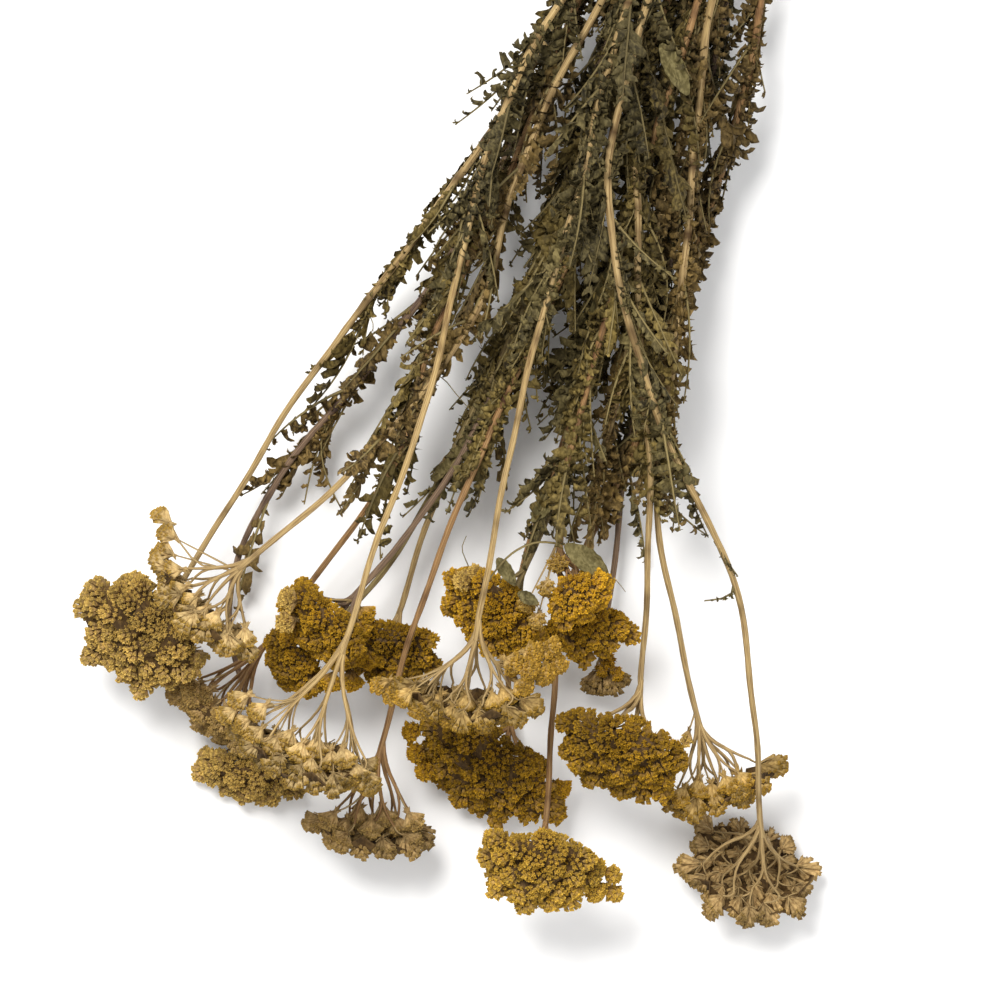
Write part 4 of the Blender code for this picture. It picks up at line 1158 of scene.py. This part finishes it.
def leaflet_mesh(name, draw):
    """A short lobed tongue one unit long with its edges rolled up, twisted and curled under."""
    curl = math.radians(draw.uniform(*LEAFLET_CURL)) * draw.choice((1.0, 1.0, 1.0, -0.6))
    twist = math.radians(draw.uniform(*LEAFLET_TWIST))
    sway = math.radians(draw.uniform(*LEAFLET_SWAY))
    place, course, up = Vector((0.0, 0.0, 0.0)), Vector((1.0, 0.0, 0.0)), UP.copy()
    vertices = []
    for k, half in enumerate(LEAFLET_HALVES):
        side = up.cross(course).normalized()
        left = half * LEFT_LOBES[k % 3]
        right = half * RIGHT_LOBES[k % 3]
        vertices += [place + side * left + up * (ROLLED_UP * left), place - up * 0.03,
                     place - side * right + up * (ROLLED_UP * right)]
        place = place + course * (LEAFLET_REACH / LEAFLET_STEPS)
        bend = Matrix.Rotation(-curl / LEAFLET_STEPS * (0.1 + 1.8 * (k / LEAFLET_STEPS)), 3, side)
        roll = Matrix.Rotation(twist / LEAFLET_STEPS, 3, course)
        yaw = Matrix.Rotation(sway / LEAFLET_STEPS, 3, up)
        course = (yaw @ roll @ bend @ course).normalized()
        up = (roll @ bend @ up).normalized()
    faces = [(3 * k + i, 3 * k + i + 1, 3 * k + i + 4, 3 * k + i + 3)
             for k in range(LEAFLET_STEPS) for i in (0, 1)]
    mesh = new_mesh(name, vertices, [], faces)
    mesh.shade_smooth()
    return bpy.data.objects.new(name, mesh)


leaflet_draw = random.Random("leaflets")
LEAFLETS = set_of("leaflets", [leaflet_mesh("leaflet_%d" % i, leaflet_draw) for i in range(LEAFLET_KINDS)])

# %% [markdown]
# ## Where the leaves grow
# Leaves stand round the stem at every knot and lean towards the head. They could be scattered at
# random, but the solid stems bear leaves of their own, and the fine ones have to cover those. So the
# solids' rule is run again, and for each leaf the turn whose rib really lies in the solid is kept.

# %% The rule that places leaves on the solids
def leaf_frames(root, along, outward, lean, length, curl, twist):
    """The leaf's rib frames: place, course, side and face direction at each station."""
    course = along * math.cos(lean) + outward * math.sin(lean)
    face = along * math.sin(lean) - outward * math.cos(lean)
    frames = []
    place = root.copy()
    for _ in range(LEAF_STATIONS + 1):
        side = course.cross(face).normalized()
        frames.append((place.copy(), course.copy(), side, face.copy()))
        place = place + course * (length / LEAF_STATIONS)
        bend = Matrix.Rotation(curl / LEAF_STATIONS, 3, side)
        roll = Matrix.Rotation(twist / LEAF_STATIONS, 3, course)
        course = (roll @ bend @ course).normalized()
        face = (roll @ bend @ face).normalized()
    return frames


def about_stem(along, roll):
    """A direction out of the stem, turned about it."""
    return Matrix.Rotation(roll, 3, along) @ along.orthogonal().normalized()


def leaf_try(flower, index, attempt, root, along):
    """One leaf of a stem, turned about it a little further with each try."""
    draw = random.Random("leaf" + flower.name + str(index))
    length = draw.uniform(*LEAF_LENGTH)
    width = length * draw.uniform(*LEAF_SLIMNESS)
    lean, curl, twist = (math.radians(draw.uniform(*part)) for part in (LEAF_LEAN, LEAF_CURL, LEAF_TWIST))
    outward = about_stem(along, index * GOLDEN_ANGLE + draw.uniform(-0.4, 0.4) + attempt * TRY_TURN)
    return leaf_frames(root, along, outward, lean, length, curl, twist), width


def solid_leaves(flower):
    """The leaves that the solid stem bears: for each one, the try whose rib lies in the solid."""
    mesh = frame["nodes"]["stem_" + flower.name].data
    corners = np.zeros(len(mesh.vertices) * 3)
    mesh.vertices.foreach_get("co", corners)
    skin = BVHTree.FromPolygons(corners.reshape(-1, 3).tolist(), [list(p.vertices) for p in mesh.polygons])
    found = []
    for index, (root, along) in enumerate(leaf_roots(flower)):
        tries = []
        for attempt in range(LEAF_TRIES):
            frames, width = leaf_try(flower, index, attempt, root, along)
            miss = [skin.find_nearest(Vector(p))[3] / MM for p in in_scene([f[0] for f in frames[1:]])]
            tries.append((sum(miss) / len(miss), attempt, frames, width))
        miss, _, frames, width = min(tries, key=lambda t: t[:2])
        if miss < SOLID_MISS:
            found.append((frames, width))
    return found


# %% [markdown]
# ## The dense middle of the bunch
# Deep in a dried bunch the leaves hang so close that the table hardly shows. Making every solid leaf
# twice would not fill the gaps, because those leaves stand apart. So shorter leaves are added at the
# sides and undersides of the stems, where they never hide a stem from above, and a table names those
# that hang out at the edges or close a gap.

# %% More leaves of the same kind
BARE_STEMS = {"01": 0.35, "02": 0.7, "18": 0.6}
MORE_LEAVES = ((26, 20.0, 245.0), (6, 245.0, 325.0))
MIDDLE_X, MIDDLE_REACH, MIDDLE_YS, MIDDLE_EXTRA = 42.0, 36.0, (60.0, 110.0), 1.3
MORE_LENGTH, LEAST_WIDTH, TABLE_GAP, MORE_TRIES = (28.0, 54.0), 6.0, 2.5, 4
MORE_LEAN, MORE_CURL, MORE_TWIST = (4.0, 20.0), (-30.0, 60.0), (-120.0, 120.0)


def fan_sides(y):
    """The least and the greatest x of the stems where they pass a given y."""
    sides = [point.x for flower in FLOWERS for point, _ in crossings(flower, y)]
    return min(sides), max(sides)


def more_leaves(flower):
    """Leaves between those of the solid, shorter, and closer to the stem."""
    draw = random.Random("more" + flower.name)
    in_middle = min(abs(stem_at(flower, y)[0].x - MIDDLE_X) for y in MIDDLE_YS) < MIDDLE_REACH
    found = []
    for count, low, high in MORE_LEAVES:
        low = max(low, flower.leafy[0])
        if in_middle:
            count = round(MIDDLE_EXTRA * count)
        count = round(count * BARE_STEMS.get(flower.name, 1.0))
        for i in range(count):
            root, along = stem_at(flower, high - (high - low) * (i + draw.uniform(0.0, 1.0)) / count)
            for _ in range(MORE_TRIES):
                length = draw.uniform(*MORE_LENGTH)
                width = max(length * draw.uniform(*LEAF_SLIMNESS), LEAST_WIDTH)
                lean = math.radians(draw.uniform(*MORE_LEAN))
                outward = about_stem(along, draw.uniform(0.0, math.tau))
                outward = Vector((outward.x, outward.y, -abs(outward.z))).normalized()
                curl, twist = (math.radians(draw.uniform(*part)) for part in (MORE_CURL, MORE_TWIST))
                frames = leaf_frames(root, along, outward, lean, length, curl, twist)
                tip = frames[-1][0]
                left, right = fan_sides(tip.y)
                over_table = min(f[0].z for f in frames) > TABLE_GAP
                if over_table and left - LEAF_STRAY < tip.x < right + LEAF_STRAY:
                    found.append((frames, width))
                    break
    return found


# %% Leaves that hang out of the bunch or close a gap in it
# For each stem: the y of the leaf's root, its tip's x, y and z, and its width.
SPRIGS = {
    "01": [(120, -52, 84, 36, 8), (105, -62, 66, 34, 7)],
    "02": [(90, -38, 60, 62, 8), (46, -54, 8, 66, 6)],
    "03": [(44, -44, -8, 44, 9), (142, 12, 100, 20, 8)],
    "04": [(60, -58, 26, 46, 7), (158, 10, 118, 44, 7)],
    "05": [(72, -84, 16, 24, 7), (50, -89, -2, 22, 6), (40, -71, -6, 22, 6)],
    "06": [(216, -15, 182, 58, 8), (205, -20, 168, 62, 7)],
    "07": [(140, 30, 97, 40, 8), (100, 22, 60, 46, 8), (118, 13, 80, 40, 8), (126, 24, 84, 44, 8),
           (92, 10, 57, 50, 8), (112, 17, 70, 42, 9), (96, 20, 54, 42, 9), (72, 14, 32, 44, 8),
           (88, 17, 44, 48, 9)],
    "08": [(166, 20, 128, 20, 8), (140, 36, 96, 20, 8), (106, 18, 58, 20, 8), (112, 16, 70, 28, 8),
           (86, 13, 44, 22, 8), (130, 21, 90, 24, 8), (150, 12, 106, 24, 9), (132, 18, 92, 26, 9),
           (78, 10, 40, 26, 8)],
    "10": [(114, 24, 74, 16, 8), (110, 29, 66, 26, 8), (120, 22, 84, 20, 9), (96, 18, 56, 22, 9),
           (92, 20, 44, 22, 9), (74, 17, 34, 26, 9)],
    "11": [(222, 120, 184, 38, 7)],
    "12": [(30, 2, -6, 50, 8), (12, 12, -22, 52, 7), (128, 34, 86, 30, 8), (100, 26, 62, 36, 8),
           (92, 27, 50, 34, 8), (104, 30, 60, 36, 9), (80, 24, 38, 40, 9), (90, 17, 50, 40, 9),
           (66, 20, 27, 44, 9), (82, 12, 56, 34, 9)],
    "13": [(24, 34, -22, 66, 7), (140, 38, 101, 50, 8), (100, 31, 56, 50, 8)],
    "14": [(20, 42, -26, 46, 7)],
    "17": [(16, 93, -16, 62, 6)],
    "18": [(-18, 106, -34, 78, 3.5), (-38, 91, -45, 76, 3)],
    "19": [(150, 14, 112, 30, 8), (176, 17, 138, 38, 8), (104, 8, 66, 36, 7), (130, 12, 92, 38, 9),
           (118, 14, 80, 34, 9)],
}


def sprig_frames(root, course, tip, draw):
    """Rib frames on a bow from the stem to a chosen tip."""
    path = bent(root, tip, course, 0.45)
    path = [smooth_point(path, k / LEAF_STATIONS) for k in range(LEAF_STATIONS + 1)]
    turn = draw.uniform(-0.7, 0.7)
    frames = []
    for k, place in enumerate(path):
        ahead = (path[min(k + 1, LEAF_STATIONS)] - path[max(k - 1, 0)]).normalized()
        face = Matrix.Rotation(turn + 0.35 * k * draw.uniform(0.6, 1.0), 3, ahead) @ UP
        side = ahead.cross(face).normalized()
        frames.append((place, ahead, side, side.cross(ahead)))
    return frames


def hanging_leaves(flower):
    draw = random.Random("sprig" + flower.name)
    return [(sprig_frames(*stem_at(flower, root_y), Vector((x, y, z)), draw), width)
            for root_y, x, y, z, width in SPRIGS.get(flower.name, ())]


# %% [markdown]
# ## A few undivided leaves
# Near the heads some leaves stay whole, thin as paper and folded along the middle, and a few hair-thin
# stalks have lost their leaf. They are too few for a rule, so each is a row of measures, and one
# function bends a toothed grid along it.

# %% Broad leaves near the heads
BroadLeaf = namedtuple("BroadLeaf", "name root tip half_width droop")
BROAD_LEAVES = [
    BroadLeaf("13", (29, -20, 72), (48, -33, 72), 5.5, 4.0),
    BroadLeaf("13", (7, -38, 86), (-1, -26, 82), 3.4, 3.0),
    BroadLeaf("13", (8, -41, 87), (17, -46, 88), 3.0, 2.0),
    BroadLeaf("12", (22, 0, 56), (14, -10, 62), 3.6, 2.0),
    BroadLeaf("16", (72, 204, 66), (84, 181, 66), 5.0, 4.0),
    BroadLeaf("13", (52, 106, 52), (42, 66, 48), 6.5, 4.0),
    BroadLeaf("10", (50, 96, 18), (40, 48, 20), 7.5, 4.0),
]
TENDRILS = [
    ("13", [(29, -20, 70), (16, -19, 80), (5, -24, 86), (-4, -34, 90), (-9, -43, 88)], 0.7),
    ("13", [(26, -14, 66), (28, -19, 71), (29, -20, 72)], 0.6),
    ("12", [(-14, -30, 66), (-17, -22, 70), (-15, -16, 70)], 0.35),
    ("13", [(47, -33, 74), (52, -36, 76), (56, -41, 74)], 0.3),
    ("04", [(-34, 60, 54), (-25, 54, 60), (-20, 48, 62), (-13, 40, 60)], 0.35),
    ("01", [(-60, 86, 40), (-57, 78, 46), (-61, 72, 48), (-66, 74, 47)], 0.3),
]


def broad_leaf_mesh(name, leaf, paint):
    """An undivided leaf: a folded blade with a wavy toothed edge, thin as paper."""
    rows, columns = 10, 4
    root, tip = Vector(leaf.root), Vector(leaf.tip)
    course = (tip - root).normalized()
    side = course.cross(UP).normalized()
    up = side.cross(course)
    vertices = []
    for i in range(rows + 1):
        at = i / rows
        half = leaf.half_width * math.sin(math.pi * (0.04 + 0.93 * at)) ** 0.75 * (1.0 + 0.10 * (i % 2))
        middle = root.lerp(tip, at) + up * (leaf.droop * math.sin(math.pi * at * 0.9))
        for j in range(columns + 1):
            v = 2.0 * j / columns - 1.0
            lift = 0.75 * half * abs(v) + 0.22 * half * math.sin(9.0 * at + 3.0 * v)
            vertices.append(middle + side * (half * v * 0.9) + up * lift)
    line = columns + 1
    faces = [(i * line + j, i * line + j + 1, (i + 1) * line + j + 1, (i + 1) * line + j)
             for i in range(rows) for j in range(columns)]
    mesh = new_mesh(name, in_scene(vertices), [], faces, shade=np.full(len(vertices), 0.6))
    mesh.materials.append(paint)
    mesh.shade_smooth()
    return new_object(name, mesh)


# %% Leaflets along a rib
LEAFLET_PAIRS, FIRST_PAIR, PAIR_STRETCH = 9, 0.10, 0.88
SWEEP, HOOK, LEAFLET_SIZES = (38.0, 72.0), (-0.25, 0.35), (0.8, 1.35)


def leaflet_rows(frames, width, shade, rolled, draw):
    """Foot, aim, face, size and shade of every leaflet of a leaf, in pairs along its rib."""
    places = [f[0] for f in frames]
    for pair in range(LEAFLET_PAIRS):
        at = FIRST_PAIR + PAIR_STRETCH * pair / (LEAFLET_PAIRS - 1)
        k = min(int(at * LEAF_STATIONS), LEAF_STATIONS - 1)
        part = at * LEAF_STATIONS - k
        course, side, face = (frames[k][n].lerp(frames[k + 1][n], part).normalized() for n in (1, 2, 3))
        place = smooth_point(places, at)
        share = min(max((5.0 * at - 0.9) / 4.0, -0.15), 1.05)
        reach = 0.92 * width * max(math.sin(math.pi * (0.18 + 0.74 * share)), 0.05) ** 0.7
        for hand in (1.0, -1.0):
            sweep = math.radians(draw.uniform(*SWEEP))
            hook = rolled + draw.uniform(*HOOK)
            aim = side * (hand * math.cos(sweep)) + course * math.sin(sweep) + face * hook
            foot = place + course * draw.uniform(-0.6, 0.6)
            across = (face - aim * aim.dot(face)).normalized()
            size = reach * draw.uniform(*LEAFLET_SIZES) * MM
            tone = min(max(shade + draw.uniform(-0.2, 0.2), 0.0), 1.0)
            yield foot, tuple(aim.normalized()), tuple(across), size, tone


print("leaflets on each leaf:", 2 * LEAFLET_PAIRS)

# %% Grow the leaves
LEAF_SHADES, SHADED_FROM, SHADED_OVER, SHADED_BY = (0.15, 0.75), 90.0, 110.0, 0.5
ROLL, RIB_STEP, RIB_GIRTHS, TENDRIL_STEP = (-0.2, 1.3), 6.0, (0.95, 0.4), 3.0


def grow_leaves(flower, index):
    draw = random.Random("blade" + flower.name)
    rods = Rods()
    rows = []
    solid = solid_leaves(flower)
    leaves = solid + more_leaves(flower) + hanging_leaves(flower)
    for owner, path, radius in TENDRILS:
        if owner == flower.name:
            curl = smooth_path([Vector(p) for p in path], TENDRIL_STEP)
            rods.add(curl, np.linspace(radius, 0.6 * radius, len(curl)), 0.6)
    for frames, width in leaves:
        high = min(max((frames[0][0].y - SHADED_FROM) / SHADED_OVER, 0.0), 1.0)
        shade = draw.uniform(*LEAF_SHADES) - SHADED_BY * high
        rolled = draw.uniform(*ROLL)
        rib = smooth_path([f[0] for f in frames], RIB_STEP)
        rods.add(rib, np.linspace(*RIB_GIRTHS, len(rib)), 0.2 + 0.8 * shade)
        rows += leaflet_rows(frames, width, shade, rolled, draw)
    name = "stem_" + flower.name + "_leaves"
    feet, aims, faces, sizes, shades = zip(*rows)
    blades = planted(name, LEAFLET_TREE, LEAFLETS, LEAFLET_KINDS, LEAVES[index % 3], feet, aim=aims,
                     face=faces, size=sizes, shade=shades, kind=[0] * len(rows))
    ribs = rods.grow(name + "_ribs", 3, 0.0, RIB)
    whole = [broad_leaf_mesh(name + "_broad", leaf, LEAVES[-1])
             for leaf in BROAD_LEAVES if leaf.name == flower.name]
    print(flower.name, "leaves:", len(leaves), "of them on the solid:", len(solid), "of", flower.leaves)
    return joined(blades, ribs, *whole)


foliage = {flower.name: grow_leaves(flower, i) for i, flower in enumerate(FLOWERS)}
print("leaves grown, triangles:", triangles(foliage.values()))

# %% [markdown]
# ## The tie
# Three turns of plain twine hold the bunch. A smooth ring with a bump map would look like wire. Twine
# is strands twisted round each other, so each strand is a small helix that runs on a large one, drawn
# by the same tool as the stalks. Where the bunch lies on the table the turns are pressed flat.

# %% Wind the twine
STRAND_RADIUS, STRAND_PITCH, STRAND_OFFSET, STEPS_A_TURN = 0.72, 5.5, 0.52, 80


def grow_tie():
    across = Vector((TIE_COURSE.y, -TIE_COURSE.x, 0.0))
    middle_radius = TIE_OUTER - TWINE_THICKNESS / 2.0
    rods = Rods()
    steps = STEPS_A_TURN * TIE_TURNS
    for strand in range(2):
        path = []
        for i in range(steps + 1):
            angle = math.tau * TIE_TURNS * i / steps
            outward = across * math.cos(angle) + UP * math.sin(angle)
            along = TIE_COURSE * ((i / steps - 0.5) * (TIE_TURNS - 1) * TWINE_THICKNESS)
            twist = angle * middle_radius / STRAND_PITCH * math.tau + strand * math.pi
            point = TIE_PLACE + along + outward * (middle_radius + STRAND_OFFSET * math.cos(twist))
            point += TIE_COURSE * (STRAND_OFFSET * math.sin(twist))
            point.z = max(point.z, STRAND_RADIUS + 0.02)
            path.append(point)
        rods.add(path, [STRAND_RADIUS] * len(path), 0.5 + 0.1 * strand)
    return rods


TWINE = bark_paint("twine", (190, 158, 108), (140, 108, 66), (218, 192, 146))
tie = grow_tie().grow("tie_twine", 8, 0.0, TWINE)
print("twine triangles:", triangles([tie]))

# %% [markdown]
# ## Each fine piece stands for its solid
# A bunch that has lain for weeks is pressed flat where it touches the table. A cloth or soft body
# run could press it, but lifting the few low points to the table gives the same look at once. Every
# fine piece then takes the place of its solid, which stays hidden, and rides on the body of the bunch.

# %% Put the pieces on their solids
def press_flat(piece):
    """Flattens against the table what would reach below it."""
    places = np.empty(3 * len(piece.data.vertices), np.float32)
    piece.data.vertices.foreach_get("co", places)
    places[2::3] = np.maximum(places[2::3], 0.0)
    piece.data.vertices.foreach_set("co", places)
    piece.data.update()


for flower in FLOWERS:
    for piece, node, slot in ((barks[flower.name], "stem_", "stem"), (foliage[flower.name], "stem_", "stem"),
                              (heads[flower.name], "head_", "florets_" + flower.tone)):
        press_flat(piece)
        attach(piece, "root")
        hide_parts(node + flower.name)
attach(tie, "root")
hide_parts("tie")

# %% [markdown]
# ## Table, light and camera
# The bunch lies on a pale table under soft studio light. A sun lamp would cut hard shadows, so wide
# area lights are used. The camera looks straight down through a long lens, so that the heads at the
# edges are seen as flat as those in the middle.

# %% The table
HALF_TABLE, TABLE_DROP = 6.0, 0.0006


def pale_paint():
    paint, _, shader = new_paint("pale_table")
    shader.inputs["Base Color"].default_value = (0.93, 0.93, 0.93, 1.0)
    shader.inputs["Roughness"].default_value = 0.9
    return paint


corners = [(HALF_TABLE * x, HALF_TABLE * y, -TABLE_DROP) for x, y in ((-1, -1), (1, -1), (1, 1), (-1, 1))]
table = new_object("table_top", new_mesh("table_top", corners, [], [(0, 1, 2, 3)]))
table.data.materials.append(pale_paint())

# %% Soft light
AIM = Vector((0.0, -0.1, 0.03))
WHITE = (1.0, 1.0, 1.0, 1.0)


def soft_light(name, place, size, power, tint):
    lamp = bpy.data.lights.new(name, "AREA")
    lamp.shape = "DISK"
    lamp.size = size
    lamp.energy = power
    lamp.color = tint
    holder = new_object(name, lamp)
    holder.location = place
    holder.rotation_euler = (AIM - Vector(place)).to_track_quat("-Z", "Y").to_euler()


soft_light("key", (-0.45, 0.6, 1.8), 0.8, 38.0, (1.0, 0.985, 0.96))
soft_light("fill", (1.3, -0.9, 1.4), 1.6, 10.0, (0.97, 0.98, 1.0))
room = bpy.data.worlds.new("room")
room.use_nodes = True
room.node_tree.nodes["Background"].inputs["Color"].default_value = WHITE
room.node_tree.nodes["Background"].inputs["Strength"].default_value = 0.75
bpy.context.scene.world = room
bpy.context.scene.view_settings.view_transform = "Standard"

# %% The camera
VIEW_WIDTH, CAMERA_HEIGHT, HEADS_HEIGHT, SENSOR = 450.0, 2.6, 0.05, 36.0
lens = bpy.data.cameras.new("camera")
lens.sensor_width = SENSOR
lens.lens = SENSOR * (CAMERA_HEIGHT - HEADS_HEIGHT) / (VIEW_WIDTH * MM)
lens.clip_end = 50.0
camera = new_object("camera", lens)
camera.location = Vector(in_scene([(0.0, 0.0, 0.0)])[0]) + Vector((0.0, 0.0, CAMERA_HEIGHT))
bpy.context.scene.camera = camera
print("camera at", [round(v, 3) for v in camera.location], "lens", round(lens.lens))

# %% Count the triangles
counts = [triangles([piece]) for piece in (*barks.values(), *foliage.values(), *heads.values(), tie)]
print("all triangles:", sum(counts), "largest piece:", max(counts))
